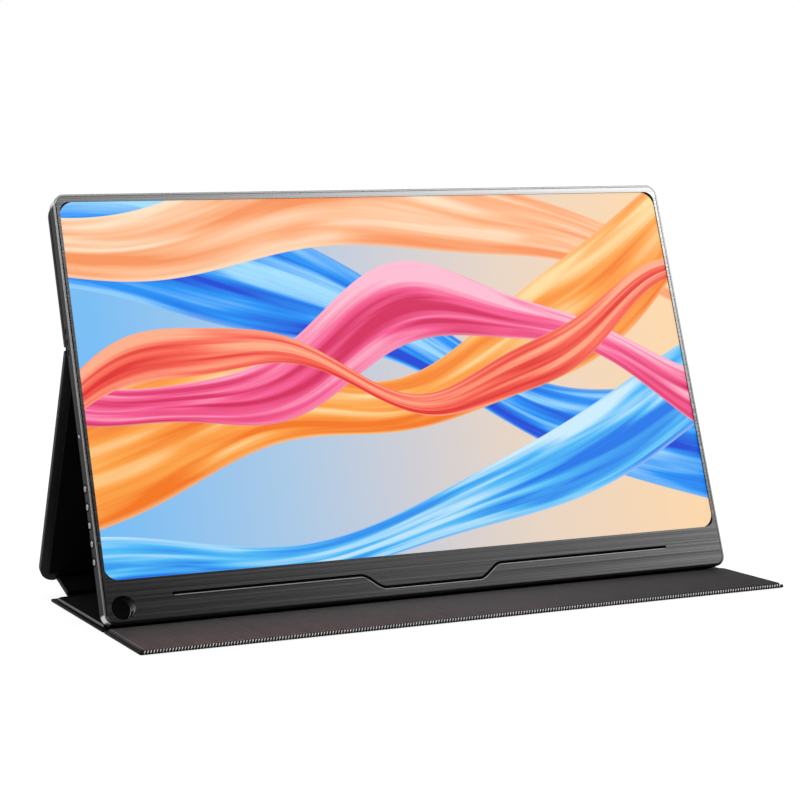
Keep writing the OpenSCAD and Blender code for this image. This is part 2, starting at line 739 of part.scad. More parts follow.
module spine_fold() color([0.06, 0.06, 0.06])
  translate([0, spine_fold_y, spine_fold_z]) bar_x(-spine_w / 2, spine_w / 2, 0, 0, fold_r);

module flap_fold() color([0.06, 0.06, 0.06])
  translate([0, flap_fold_y, base_fold_r])
    bar_x(-cover_w / 2 + 0.5, cover_w / 2 - 0.5, 0, 0, base_fold_r);

// leg
leg_low = knee_up - leg_free_end;
leg_high = knee_up - skin_end;
leg_h = leg_high - leg_low;
fold_low = knee_up - leg_l;
notch_z = fold_low + board_fold_gap;
notch_wall = 1.8;

module at_leg() leg_frame() translate([0, 0, leg_low]) children();

module leg_notch(grow) leg_frame()
  translate([-notch_w / 2 - grow, panel_y0 - 1, leg_low - 1])
    cube([notch_w + 2 * grow, panel_t + 2, notch_z + grow - leg_low + 1]);

module leg_skin() color([0.06, 0.06, 0.06]) {
  difference() {
    at_leg() panel_skin(cover_w, leg_h, cover_r, edge_r);
    leg_notch(0);
  }
  // skin running on to the fold, and walls that close the pocket around the notch
  leg_frame() {
    translate([-spine_w / 2, panel_y1 - skin_t, fold_low + skin_end])
      cube([spine_w, skin_t, notch_z + notch_wall - fold_low - skin_end]);
    translate([-notch_w / 2 - notch_wall, panel_y0, notch_z])
      cube([notch_w + 2 * notch_wall, panel_t - skin_t / 2, notch_wall]);
    for (x = [-notch_w / 2 - notch_wall, notch_w / 2])
      translate([x, panel_y0, leg_low + notch_wall])
        cube([notch_wall, panel_t - skin_t / 2, notch_z - leg_low]);
  }
}

module leg_board() color([0.45, 0.42, 0.38]) difference() {
  at_leg() panel_board(cover_w, leg_h, cover_r, edge_r);
  leg_notch(notch_wall + snug);
}

module leg_lining() color([0.09, 0.09, 0.09]) difference() {
  at_leg() panel_lining(cover_w, leg_h, cover_r, edge_r);
  leg_notch(notch_wall + snug);
}

// spine
spine_y0 = 3.2;
spine_y1 = spine_l - board_fold_gap;
spine_hem = 1.5;

module spine_skin() color([0.06, 0.06, 0.06]) spine_frame() {
  translate([-spine_w / 2, skin_end, -fold_r]) cube([spine_w, spine_l - 2 * skin_end, skin_t]);
  difference() {
    translate([-spine_w / 2, spine_y0, -fold_r]) cube([spine_w, spine_y1 - spine_y0, spine_t]);
    translate([-spine_w / 2 + spine_hem, spine_y0 + spine_hem, fold_r])
      cube([spine_w - 2 * spine_hem, spine_y1 - spine_y0 - 2 * spine_hem, spine_t]);
  }
}

module spine_fill(z0, z1) {
  translate([-spine_w / 2 + spine_hem + snug, spine_y0 + spine_hem + snug, z0])
    cube([spine_w - 2 * spine_hem - 2 * snug, spine_y1 - spine_y0 - 2 * spine_hem - 2 * snug, z1 - z0]);
}

spine_top = spine_t - fold_r;
module spine_board() color([0.45, 0.42, 0.38])
  spine_frame() spine_fill(fold_r, spine_top - lining_t);
module spine_lining() color([0.09, 0.09, 0.09])
  spine_frame() spine_fill(spine_top - lining_t, spine_top);

// base under the body, and the flap in front of it

base_y0 = flap_fold_y + base_skin_end;
base_y1 = spine_fold_y - skin_end;

module base_skin() color([0.06, 0.06, 0.06])
  translate([-cover_w / 2, base_y0, 0]) cube([cover_w, base_y1 - base_y0, base_skin_t]);

// lining pulled over a board that lies on the skin
module pad_lining(w, y0, y1, z0, t, r) {
  difference() {
    translate([0, y0, z0]) linear_extrude(t) round_rect(w, y1 - y0, r, r);
    translate([0, y0 + lining_t, z0 - 1]) linear_extrude(t - lining_t + 1)
      round_rect(w - 2 * lining_t, y1 - y0 - 2 * lining_t, r - lining_t, r - lining_t);
  }
}

module pad_board(w, y0, y1, z0, t, r) {
  translate([0, y0 + lining_t + snug, z0]) linear_extrude(t - lining_t - snug)
    round_rect(w - 2 * lining_t - 2 * snug, y1 - y0 - 2 * lining_t - 2 * snug, r - lining_t, r - lining_t);
}

rear_pad_w = cover_w - 2 * pad_in;
rear_pad_y1 = base_y1 - 3;
module rear_pad_lining() color([0.09, 0.09, 0.09])
  pad_lining(rear_pad_w, pad_start_y, rear_pad_y1, base_skin_t, rear_pad_t, pad_r);
module rear_pad_board() color([0.45, 0.42, 0.38])
  pad_board(rear_pad_w, pad_start_y, rear_pad_y1, base_skin_t, rear_pad_t, pad_r);

flap_y0 = flap_fold_y - flap_l;
flap_y1 = flap_fold_y - base_skin_end;
flap_pad_w = cover_w - 2 * flap_pad_in;
flap_pad_y0 = flap_y0 + 2 * binding_r + 0.2;
flap_pad_y1 = flap_fold_y - 2.2;
flap_strip_y = flap_pad_y0 + pad_r;

module flap_skin() color([0.06, 0.06, 0.06])
  translate([-cover_w / 2, flap_y0 + 2 * binding_r, 0])
    cube([cover_w, flap_y1 - flap_y0 - 2 * binding_r, base_skin_t]);

module flap_pad_lining() color([0.32, 0.31, 0.31])
  pad_lining(flap_pad_w, flap_pad_y0, flap_pad_y1, base_skin_t, front_pad_t, pad_r);

// strips let into the board close the flap against the body
strip_l = 24;
strip_w = 6;
module flap_strips(grow) {
  t = front_pad_t - lining_t - 2 * snug;
  for (x = magnet_xs)
    translate([x - strip_l / 2 - grow, flap_strip_y - grow, base_skin_t - grow])
      cube([strip_l + 2 * grow, strip_w + 2 * grow, t + 2 * grow]);
}

module flap_pad_board() color([0.45, 0.42, 0.38]) difference() {
  pad_board(flap_pad_w, flap_pad_y0, flap_pad_y1, base_skin_t, front_pad_t, pad_r);
  flap_strips(snug);
}
module flap_magnets() color([0.6, 0.6, 0.62]) flap_strips(0);

// bound front edge of the flap
module flap_binding() color([0.2, 0.2, 0.2])
  bar_x(-cover_w / 2, cover_w / 2, flap_y0 + binding_r, binding_r, binding_r);

rear_shell();
front_bezel();
pen_sleeve();
display_gasket();
screen_front();
lcd_cell();
diffuser_sheet();
light_guide();
reflector_sheet();
led_strip();
panel_tray();
tray_screws();
main_board();
board_chips();
heat_pad();
board_screws();
usb_c_socket_1();
usb_c_socket_2();
mini_hdmi_socket();
audio_jack();
button_board();
key_switches();
status_light_pipe();
button_1();
button_2();
button_3();
button_4();
button_5();
speaker_left();
speaker_right();
panel_ribbon();
button_ribbon();
housing_magnets();
upper_skin();
upper_board();
upper_lining();
cover_magnets();
knee_fold();
leg_skin();
leg_board();
leg_lining();
leg_fold();
spine_skin();
spine_board();
spine_lining();
spine_fold();
base_skin();
rear_pad_board();
rear_pad_lining();
flap_fold();
flap_skin();
flap_pad_board();
flap_pad_lining();
flap_binding();
flap_magnets();
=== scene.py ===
# %% [markdown]
# # A portable monitor on its folding cover
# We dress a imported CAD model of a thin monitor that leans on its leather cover. The metal and the
# electronics keep their CAD shapes and get materials. The cover is soft leather over board, so its skins
# are modelled again here, with rolled edges, hems, creases at the folds and stitches.

# %% Load the frame
import math

import bmesh
import bpy
from mathutils import Matrix, Vector


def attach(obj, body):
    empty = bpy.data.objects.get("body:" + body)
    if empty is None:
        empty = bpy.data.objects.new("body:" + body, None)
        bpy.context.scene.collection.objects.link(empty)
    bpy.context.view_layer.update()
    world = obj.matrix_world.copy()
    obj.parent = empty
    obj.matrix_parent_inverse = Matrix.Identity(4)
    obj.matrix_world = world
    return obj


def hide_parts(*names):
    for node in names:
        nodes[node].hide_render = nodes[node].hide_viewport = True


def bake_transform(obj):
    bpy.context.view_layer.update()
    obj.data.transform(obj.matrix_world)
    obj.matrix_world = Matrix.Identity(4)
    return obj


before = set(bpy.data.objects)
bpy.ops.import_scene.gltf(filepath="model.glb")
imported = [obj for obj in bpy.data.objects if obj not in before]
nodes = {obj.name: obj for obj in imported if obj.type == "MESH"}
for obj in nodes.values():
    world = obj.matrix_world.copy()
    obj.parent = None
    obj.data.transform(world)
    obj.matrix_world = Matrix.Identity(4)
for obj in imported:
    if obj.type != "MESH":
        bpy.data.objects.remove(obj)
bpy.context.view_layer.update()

# %% [markdown]
# ## The sizes we share with the CAD model
# Blender works in metres and the part was drawn in millimetres, so every length below is in millimetres and
# is turned into metres by one factor. The stand is a chain of flat pieces, each turned about a fold line
# along X. We keep one matrix per piece, so that a panel can be modelled lying flat in its own frame and is
# then laid where the CAD model has it.

# %% Shared sizes and frames
MM = 0.001
X, Y, Z = range(3)
TILT = 19.1            # lean of the screen
LEG_LEAN = 28.453      # lean of the leg
SPINE_RISE = 16.052    # rise of the spine
FACE_Y, FACE_Z = -35.866, 4.068          # lower edge of the screen's face
KNEE = (23.108, 134.342)                 # the four fold lines, as (y, z)
LEG_FOLD = (91.573, 8.0)
SPINE_FOLD = (66.202, 0.7)
FLAP_FOLD = (-31.173, 0.7)
BODY_W, BODY_H, BODY_D = 350.0, 219.7, 9.2
PLATE_W = 347.6        # the brushed front plate
MIDDLE_Z = 118.8       # height of the picture's middle on the face
PANEL_Y0, PANEL_Y1 = 9.5, 13.7           # depth of the cover panels behind the face
FOLD_DEPTH, KNEE_UP, LEG_L = 13.1, 142.4, 143.7
FOLD_GAP = 0.9         # a panel ends so far from its fold line
SPINE_W, SPINE_L = 330.0, 26.4
GROOVE_IN, GROOVE_OUT, GROOVE_END = 26.3, 39.8, 139.75     # the groove in the chin, as distances from the middle
GROOVE_LOW, GROOVE_HIGH = 5.9, 13.1
KEY_DEPTH, KEY_LOW, KEY_PITCH = 5.8, 32.5, 9.15


def turn_x(degrees):
    """A turn about the X axis."""
    return Matrix.Rotation(math.radians(degrees), 4, "X")


def place(y, z):
    """A move in the side view, in millimetres."""
    return Matrix.Translation(Vector((0, y, z)) * MM)


on_monitor = place(FACE_Y, FACE_Z) @ turn_x(-TILT)
on_leg = place(*KNEE) @ turn_x(LEG_LEAN) @ place(-FOLD_DEPTH, -KNEE_UP)
on_spine = place(*SPINE_FOLD) @ turn_x(SPINE_RISE)
on_floor = Matrix.Identity(4)
print("frames ready; knee fold at", KNEE, "mm")

# %% [markdown]
# ## The camera
# The photograph is taken from the front left, a little above the table, with a long lens. We write the
# camera's axes down as three directions and build its matrix from them: a camera looks along its own -Z.

# %% Camera
AZIMUTH, ELEVATION, ROLL = (math.radians(a) for a in (-24.05, 5.136, -1.085))
CAMERA_AT = (-461.41, -1029.276, 202.63)
SENSOR_W = 36
FOCAL_PIXELS, PHOTO_PIXELS = 2161.26, 800      # the lens as seen in the photograph's own pixels
forward = Vector((-math.sin(AZIMUTH) * math.cos(ELEVATION),
                  math.cos(AZIMUTH) * math.cos(ELEVATION), -math.sin(ELEVATION)))
level_right = Vector((math.cos(AZIMUTH), math.sin(AZIMUTH), 0))
level_up = level_right.cross(forward)
right = level_right * math.cos(ROLL) + level_up * math.sin(ROLL)
up = level_up * math.cos(ROLL) - level_right * math.sin(ROLL)
camera_data = bpy.data.cameras.new("photo_camera")
camera_data.sensor_width = SENSOR_W
camera_data.lens = SENSOR_W * FOCAL_PIXELS / PHOTO_PIXELS
camera_data.clip_end = 20
camera = bpy.data.objects.new("photo_camera", camera_data)
bpy.context.scene.collection.objects.link(camera)
axes = Matrix((right, up, -forward)).transposed().to_4x4()
camera.matrix_world = Matrix.Translation(Vector(CAMERA_AT) * MM) @ axes
bpy.context.scene.camera = camera
bpy.context.scene.view_settings.view_transform = "Standard"
print("camera at", [round(v, 3) for v in camera.matrix_world.translation], "lens", round(camera_data.lens, 1), "mm")

# %% [markdown]
# ## Small helpers for edit mode
# Modelling by hand means: select something, then run a tool on it. In a script we select by place. These
# helpers open a piece, pick edges or faces whose middle passes a test in millimetres, and close it again.

# %% Edit-mode helpers
def only(piece):
    """Makes piece the one selected and active object."""
    bpy.ops.object.select_all(action="DESELECT")
    piece.select_set(True)
    bpy.context.view_layer.objects.active = piece


def edit_mode(on):
    bpy.ops.object.mode_set(mode="EDIT" if on else "OBJECT")


def settle():
    """Leaves the active piece's object at the origin, unturned and unscaled."""
    bpy.ops.object.transform_apply(location=True, rotation=True, scale=True)


def new_piece(name, tool, **settings):
    """Adds a piece with one of the mesh tools."""
    bpy.ops.object.select_all(action="DESELECT")
    tool(**settings)
    piece = bpy.context.active_object
    piece.name = piece.data.name = name
    return piece


def block(name, low, high):
    """A block between two corners, in millimetres."""
    middle = [(a + b) / 2 * MM for a, b in zip(low, high)]
    piece = new_piece(name, bpy.ops.mesh.primitive_cube_add, size=1, location=middle)
    piece.scale = [(b - a) * MM for a, b in zip(low, high)]
    settle()
    return piece


def pick(piece, kind, test):
    """Selects the faces or edges of an open piece whose middle and direction pass the test."""
    bpy.ops.mesh.select_mode(type=kind)
    bpy.ops.mesh.select_all(action="DESELECT")
    mesh = bmesh.from_edit_mesh(piece.data)
    for part in (mesh.faces if kind == "FACE" else mesh.edges):
        if kind == "FACE":
            middle, way = part.calc_center_median() / MM, part.normal
        else:
            a, b = (v.co for v in part.verts)
            middle, way = (a + b) / 2 / MM, (b - a).normalized()
        if test(middle, way):
            part.select_set(True)
    bmesh.update_edit_mesh(piece.data)


def near(a, b, gap=0.02):
    return abs(a - b) < gap


def rim(axis, value):
    """A test for the edges round a side that faces along an axis."""
    return lambda middle, way: near(middle[axis], value) and near(way[axis], 0)


def corner(axis, value, along):
    """A test for the edges at one end of a piece that run along an axis."""
    return lambda middle, way: near(middle[axis], value) and near(abs(way[along]), 1)


def side(axis, value, sign):
    """A test for the faces of a side that faces along an axis."""
    return lambda middle, way: near(middle[axis], value) and way[axis] * sign > 0.99


def soften(piece, width, steps, test):
    """Rounds the edges that pass the test."""
    pick(piece, "EDGE", test)
    bpy.ops.mesh.bevel(offset=width * MM, offset_type="OFFSET", segments=steps, affect="EDGES")


def inset(width, depth=0.0):
    """A frame inside the selected faces, whose inner side is sunk or raised."""
    bpy.ops.mesh.inset(thickness=width * MM, depth=depth * MM, use_boundary=True, use_even_offset=True)


def press_line(width, depth):
    """A shallow line pressed round the selected faces."""
    inset(width, -depth)
    inset(width, depth)


def cut(piece, point, normal):
    """Cuts all faces of an open piece along a plane."""
    bpy.ops.mesh.select_all(action="SELECT")
    bpy.ops.mesh.bisect(plane_co=[p * MM for p in point], plane_no=normal)


def pull(vector):
    """Extrudes what is selected."""
    bpy.ops.mesh.extrude_region_move(TRANSFORM_OT_translate={"value": [v * MM for v in vector]})


def thicken(piece, thickness):
    """Gives an open shell a wall inside its outer surface."""
    wall = piece.modifiers.new("wall", "SOLIDIFY")
    wall.thickness = thickness * MM
    wall.offset = -1
    only(piece)
    bpy.ops.object.modifier_apply(modifier="wall")


def repeat(piece, step, count):
    """Repeats a piece in a row with an Array modifier."""
    row = piece.modifiers.new("row", "ARRAY")
    row.use_relative_offset = False
    row.use_constant_offset = True
    row.constant_offset_displace = Vector(step) * MM
    row.count = count
    only(piece)
    bpy.ops.object.modifier_apply(modifier="row")


def lay(piece, matrix, smooth=35):
    """Moves a piece from its own frame to its place."""
    only(piece)
    piece.matrix_world = matrix
    settle()
    bpy.ops.object.shade_smooth_by_angle(angle=math.radians(smooth))
    return piece


print("helpers ready")

# %% [markdown]
# ## A leather panel: skin wrapped round a board
# The real panel is a stiff board with leather glued round it. The leather comes round the edges and ends in
# a hem, and a soft lining fills the window that the hem leaves. So the piece starts as a block the size of
# the panel, gets its corners and rolled edges by bevels, loses the face inside the hem, and is thickened
# to a skin. A pressed line runs round the outside, as on real covers.

# %% Panel builder
HEM = 4.55
SKIN = 0.55
INNER_ROUND = 0.5
LINE_W, LINE_DEPTH = 0.35, 0.14          # the pressed line on the outside
LINING_W, LINING_T = BODY_W - 2 * HEM, 0.6


def roll_edges(piece, outer_round):
    """Rounds the rims of a panel's outer and inner side."""
    soften(piece, outer_round, 4, rim(Y, PANEL_Y1))
    soften(piece, INNER_ROUND, 3, rim(Y, PANEL_Y0))


def window(piece, y, half, low, high):
    """Cuts a rectangle into the flat side at y and leaves it selected."""
    def on_side(middle, way):
        return near(middle.y, y) and abs(way.y) > 0.99

    for point, normal in (((-half, 0, 0), (1, 0, 0)), ((half, 0, 0), (1, 0, 0)),
                          ((0, 0, low), (0, 0, 1)), ((0, 0, high), (0, 0, 1))):
        pick(piece, "FACE", on_side)
        bpy.ops.mesh.bisect(plane_co=[p * MM for p in point], plane_no=normal)
    pick(piece, "FACE", lambda m, w: on_side(m, w) and abs(m.x) < half and low < m.z < high)


def lining_piece(name, low, high, corners, matrix, body):
    """The soft lining in a panel's window: a thin cushion with round corners and a soft rim."""
    piece = block(name, (-LINING_W / 2, PANEL_Y0, low), (LINING_W / 2, PANEL_Y0 + LINING_T, high))
    edit_mode(True)
    for z, radius in zip((low, high), corners):
        soften(piece, radius, 6, corner(Z, z, Y))
    soften(piece, 0.28, 3, rim(Y, PANEL_Y0))
    edit_mode(False)
    lay(piece, matrix)
    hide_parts(name.replace("_cloth", "_lining"))
    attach(piece, body)
    return piece


def upper_panel():
    low, high = KNEE_UP + FOLD_GAP, BODY_H
    piece = block("upper_leather", (-BODY_W / 2, PANEL_Y0, low), (BODY_W / 2, PANEL_Y1, high))
    edit_mode(True)
    soften(piece, 8.5, 10, corner(Z, high, Y))
    roll_edges(piece, 1.1)
    pick(piece, "FACE", side(Y, PANEL_Y1, 1))
    inset(2.2)
    press_line(LINE_W, LINE_DEPTH)
    pick(piece, "FACE", side(Y, PANEL_Y0, -1))
    inset(HEM - INNER_ROUND)
    bpy.ops.mesh.delete(type="FACE")
    edit_mode(False)
    thicken(piece, SKIN)
    lay(piece, on_monitor)
    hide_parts("upper_skin")
    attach(piece, "monitor")
    return piece


upper_leather = upper_panel()
upper_cloth = lining_piece("upper_cloth", KNEE_UP + FOLD_GAP + HEM, BODY_H - HEM, (0.6, 3.9),
                           on_monitor, "monitor")
print("upper panel:", len(upper_leather.data.polygons), "faces, lining:", len(upper_cloth.data.polygons))

# %% [markdown]
# ## The leg: a panel with two ears
# The leg's skin goes on to the fold at its foot, and only its two ends reach past the fold as rounded ears.
# We start from the wide part, cut its lower side into three with two bisect cuts, and pull the outer thirds
# down. The thin tongue that runs on to the fold is a piece of its own, joined to the skin.

# %% Leg
LEG_LOW = KNEE_UP - LEG_L
NOTCH_Z, EAR_Z = LEG_LOW + 4.5, LEG_LOW + 0.8
EAR_X = SPINE_W / 2 + 0.5
TONGUE_OUT, TONGUE_IN = PANEL_Y1 - 0.05, PANEL_Y1 - 1.15
LINE_INSET = 3.2


def leg_panel():
    high = KNEE_UP - FOLD_GAP
    piece = block("leg_leather", (-BODY_W / 2, PANEL_Y0, NOTCH_Z), (BODY_W / 2, PANEL_Y1, high))
    edit_mode(True)
    for way in (-1, 1):
        cut(piece, (way * EAR_X, 0, 0), (1, 0, 0))
    for way in (-1, 1):
        pick(piece, "FACE", lambda m, w: near(m.z, NOTCH_Z) and w.z < -0.9 and way * m.x > EAR_X)
        pull((0, 0, EAR_Z - NOTCH_Z))
    bpy.ops.mesh.select_all(action="SELECT")
    bpy.ops.mesh.dissolve_limited(angle_limit=math.radians(1))     # the cut lines have done their work
    for radius, steps, x in ((8.0, 10, BODY_W / 2), (1.3, 3, EAR_X)):
        soften(piece, radius, steps, lambda m, w: corner(Z, EAR_Z, Y)(m, w) and near(abs(m.x), x))
    roll_edges(piece, 0.7)
    window(piece, PANEL_Y0, LINING_W / 2 + 0.02, EAR_Z + HEM + 0.1, high - HEM)
    bpy.ops.mesh.delete(type="FACE")
    window(piece, PANEL_Y1, BODY_W / 2 - LINE_INSET, NOTCH_Z + 2.4, high - LINE_INSET)
    press_line(LINE_W, LINE_DEPTH)
    edit_mode(False)
    thicken(piece, SKIN)
    return piece


def leg_tongue():
    """The skin's thin end between the ears."""
    low = LEG_LOW + FOLD_GAP
    piece = block("tongue", (-SPINE_W / 2, TONGUE_IN, low), (SPINE_W / 2, TONGUE_OUT, NOTCH_Z + 1.2))
    edit_mode(True)
    soften(piece, 0.3, 2, lambda m, w: near(m.z, low))
    edit_mode(False)
    return piece


leg_leather, tongue = leg_panel(), leg_tongue()
only(leg_leather)
tongue.select_set(True)
bpy.ops.object.join()
lay(leg_leather, on_leg)
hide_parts("leg_skin")
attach(leg_leather, "leg_panel")
leg_cloth = lining_piece("leg_cloth", EAR_Z + HEM + 0.1, KNEE_UP - FOLD_GAP - HEM, (0.6, 0.6),
                         on_leg, "leg_panel")
print("leg:", len(leg_leather.data.polygons), "faces, lining:", len(leg_cloth.data.polygons))

# %% [markdown]
# ## The spine
# A narrow stiff strip joins the leg to the base. Its skin is one sheet with a raised middle, so the middle is
# pulled up out of the sheet between two cuts, and the lining lies in a shallow pocket on top.

# %% Spine
SPINE_T = 0.6                             # half of the sheet's thickness
RIDGE_Y0, RIDGE_Y1, RIDGE_TOP = 3.2, SPINE_L - 4.5, 2.8
POCKET = 0.62


def spine_panel():
    piece = block("spine_leather", (-SPINE_W / 2, FOLD_GAP, -SPINE_T), (SPINE_W / 2, SPINE_L - FOLD_GAP, SPINE_T))
    edit_mode(True)
    for y in (RIDGE_Y0, RIDGE_Y1):
        cut(piece, (0, y, 0), (0, 1, 0))
    pick(piece, "FACE", lambda m, w: side(Z, SPINE_T, 1)(m, w) and RIDGE_Y0 < m.y < RIDGE_Y1)
    pull((0, 0, RIDGE_TOP - SPINE_T))
    soften(piece, 0.5, 3, rim(Z, RIDGE_TOP))
    pick(piece, "FACE", side(Z, RIDGE_TOP, 1))
    inset(1.0)
    pull((0, 0, -POCKET))
    soften(piece, 0.25, 2, rim(Z, -SPINE_T))
    edit_mode(False)
    lay(piece, on_spine)
    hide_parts("spine_skin", "spine_board")
    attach(piece, "spine_panel")
    return piece


def spine_cushion():
    half = SPINE_W / 2 - 1.55
    piece = block("spine_cloth", (-half, RIDGE_Y0 + 1.55, RIDGE_TOP - LINING_T), (half, RIDGE_Y1 - 1.55, RIDGE_TOP))
    edit_mode(True)
    soften(piece, 1.0, 4, lambda m, w: near(abs(w.z), 1))
    soften(piece, 0.25, 3, rim(Z, RIDGE_TOP))
    edit_mode(False)
    lay(piece, on_spine)
    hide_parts("spine_lining")
    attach(piece, "spine_panel")
    return piece


spine_leather, spine_cloth = spine_panel(), spine_cushion()
print("spine:", len(spine_leather.data.polygons), "faces, lining:", len(spine_cloth.data.polygons))

# %% [markdown]
# ## Base skin and rear pad
# Under the monitor lies one sheet of leather with a lined pad on its rear part. The sheet's edges are cut and
# painted, so they get a small round. The pad's lining is pulled over a thin board: a block with round corners
# and a soft upper rim, with a fine pressed line just inside it.

# %% Base
BASE_T = 1.4
REAR_PAD_T, FLAP_PAD_T = 1.2, 1.0
SHEET_GAP = 1.0                           # the sheets end so far from the flap's fold line


def sheet(name, low_y, high_y):
    piece = block(name, (-BODY_W / 2, low_y, 0), (BODY_W / 2, high_y, BASE_T))
    edit_mode(True)
    soften(piece, 0.8, 3, lambda m, w: near(abs(w.z), 1))
    soften(piece, 0.3, 2, lambda m, w: near(w.z, 0))
    edit_mode(False)
    return lay(piece, on_floor)


def pad(name, inside, low_y, high_y, thick, corners, line):
    """A lined pad on a sheet, so far inside its ends."""
    half, top = BODY_W / 2 - inside, BASE_T + thick
    piece = block(name, (-half, low_y, BASE_T), (half, high_y, top))
    edit_mode(True)
    for y, radius in zip((low_y, high_y), corners):
        soften(piece, radius, 8, corner(Y, y, Z))
    soften(piece, 0.45, 3, rim(Z, top))
    pick(piece, "FACE", side(Z, top, 1))
    inset(line)
    press_line(0.3, 0.1)
    edit_mode(False)
    return lay(piece, on_floor)


base_leather = sheet("base_leather", FLAP_FOLD[0] + SHEET_GAP, SPINE_FOLD[0] - FOLD_GAP)
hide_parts("base_skin")
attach(base_leather, "base_panel")

lean = math.radians(TILT)
pad_start = FACE_Y + BODY_D * math.cos(lean) + REAR_PAD_T * math.sin(lean) + 1.1     # just behind the monitor
rear_pad = pad("rear_pad", 2.3, pad_start, SPINE_FOLD[0] - 3.9, REAR_PAD_T, (4.0, 4.0), 2.0)
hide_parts("rear_pad_lining", "rear_pad_board")
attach(rear_pad, "base_panel")
print("base sheet and pad:", len(base_leather.data.polygons) + len(rear_pad.data.polygons), "faces")

# %% [markdown]
# ## The front flap
# The flap in front of the screen shows its lining side: a grey-brown leather with a fine lengthwise grain, a
# seam a few millimetres inside its short edges, and a bound front edge with overcast stitches. One stitch is
# a slanted ring of thread round the edge. It is modelled once, and an Array modifier repeats it.

# %% Flap
FLAP_Y0 = FLAP_FOLD[0] - 61.0
EDGE_R, ROD_R, ROD_END = 1.1, 0.86, 0.8   # the bound edge's space, its rod, and where the rod ends
STITCH_R, THREAD_R = 0.87, 0.21
STITCH_PITCH, STITCH_START = 1.5, 1.9
STITCH_LEAN, STITCH_SLIP = 0.50, 0.30     # how far a loop moves along the edge per height and per depth
ALONG_X = (0, math.pi / 2, 0)
sheet_start = FLAP_Y0 + 2 * EDGE_R - 0.5
flap_leather = sheet("flap_leather", sheet_start, FLAP_FOLD[0] - SHEET_GAP)
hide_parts("flap_skin")
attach(flap_leather, "front_flap")

flap_pad = pad("flap_pad", 1.0, sheet_start + 0.15, FLAP_FOLD[0] - 2.2, FLAP_PAD_T, (2.6, 4.0), 0.9)
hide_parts("flap_pad_lining", "flap_pad_board")
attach(flap_pad, "front_flap")


def bound_edge():
    """The rolled front edge: a rod with softened ends."""
    half = BODY_W / 2 - ROD_END
    piece = new_piece("flap_edge", bpy.ops.mesh.primitive_cylinder_add, vertices=20, radius=ROD_R * MM,
                      depth=2 * half * MM, location=Vector((0, FLAP_Y0 + EDGE_R, EDGE_R)) * MM, rotation=ALONG_X)
    settle()
    edit_mode(True)
    soften(piece, 0.3, 3, lambda m, w: near(abs(m.x), half, 0.1))
    edit_mode(False)
    return lay(piece, on_floor)


def stitch_row():
    """One slanted thread loop round the edge, repeated along it."""
    piece = new_piece("edge_stitches", bpy.ops.mesh.primitive_torus_add, major_segments=16, minor_segments=5,
                      major_radius=STITCH_R * MM, minor_radius=THREAD_R * MM, location=(0, 0, 0), rotation=ALONG_X)
    settle()
    for vert in piece.data.vertices:
        vert.co.x += STITCH_LEAN * vert.co.z + STITCH_SLIP * vert.co.y
    piece.location = Vector((STITCH_START - BODY_W / 2, FLAP_Y0 + EDGE_R, EDGE_R)) * MM
    settle()
    repeat(piece, (STITCH_PITCH, 0, 0), int((BODY_W - 2 * STITCH_START) / STITCH_PITCH) + 1)
    return lay(piece, on_floor, smooth=80)


flap_edge = bound_edge()
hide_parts("flap_binding")
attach(flap_edge, "front_flap")
edge_stitches = stitch_row()
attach(edge_stitches, "front_flap")
print("stitch faces along the edge:", len(edge_stitches.data.polygons))

# %% Seams inside the flap's short edges
SEAM_X, SEAM_Z = 172.7, BASE_T + 1.02
SEAM_Y0, SEAM_Y1 = FLAP_Y0 + 3.5, FLAP_FOLD[0] - 4.5
SEAM_PITCH, SEAM_R = 1.6, 0.13
SEAM_STITCH = 0.72 * SEAM_PITCH


def seam(name, x):
    """A straight row of short stitches along y."""
    piece = new_piece(name, bpy.ops.mesh.primitive_cylinder_add, vertices=6, radius=SEAM_R * MM,
                      depth=SEAM_STITCH * MM, rotation=(math.pi / 2, 0, 0))
    settle()
    edit_mode(True)
    soften(piece, 0.07, 2, lambda m, w: near(abs(m.y), SEAM_STITCH / 2, 0.05))
    edit_mode(False)
    piece.location = Vector((x, SEAM_Y0 + SEAM_PITCH / 2, SEAM_Z)) * MM
    settle()
    repeat(piece, (0, SEAM_PITCH, 0), int((SEAM_Y1 - SEAM_Y0) / SEAM_PITCH))
    lay(piece, on_floor, smooth=80)
    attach(piece, "front_flap")
    return piece


seams = [seam("flap_seam_left", -SEAM_X), seam("flap_seam_right", SEAM_X)]
print("seams:", [len(piece.data.polygons) for piece in seams])

# %% [markdown]
# ## The folds
# Between two panels the leather is only a thin bridge. Each bridge is a strip whose section follows a few
# points across the fold: it starts as one edge along X, and the edge is pulled from point to point.

# %% Fold strips
def strip(name, half, points, thickness):
    """A strip along X through points (y, z), with its wall on the inner side of the fold."""
    piece = new_piece(name, bpy.ops.mesh.primitive_plane_add, size=1)
    edit_mode(True)
    mesh = bmesh.from_edit_mesh(piece.data)
    for vert in mesh.verts:
        y, z = points[0] if vert.co.y < 0 else points[1]
        vert.co = Vector((half if vert.co.x > 0 else -half, y, z)) * MM
    bmesh.update_edit_mesh(piece.data)
    for (y, z), (next_y, next_z) in zip(points[1:], points[2:]):
        pick(piece, "EDGE", lambda m, w: near(m.y, y, 1e-3) and near(m.z, z, 1e-3) and abs(w.x) > 0.9)
        pull((0, next_y - y, next_z - z))
    edit_mode(False)
    thicken(piece, thickness)
    bpy.ops.object.shade_smooth_by_angle(angle=math.radians(50))
    return piece


def direction(degrees):
    """Unit direction in the side view, 0 along +Y and 90 along +Z."""
    return Vector((math.cos(math.radians(degrees)), math.sin(math.radians(degrees))))


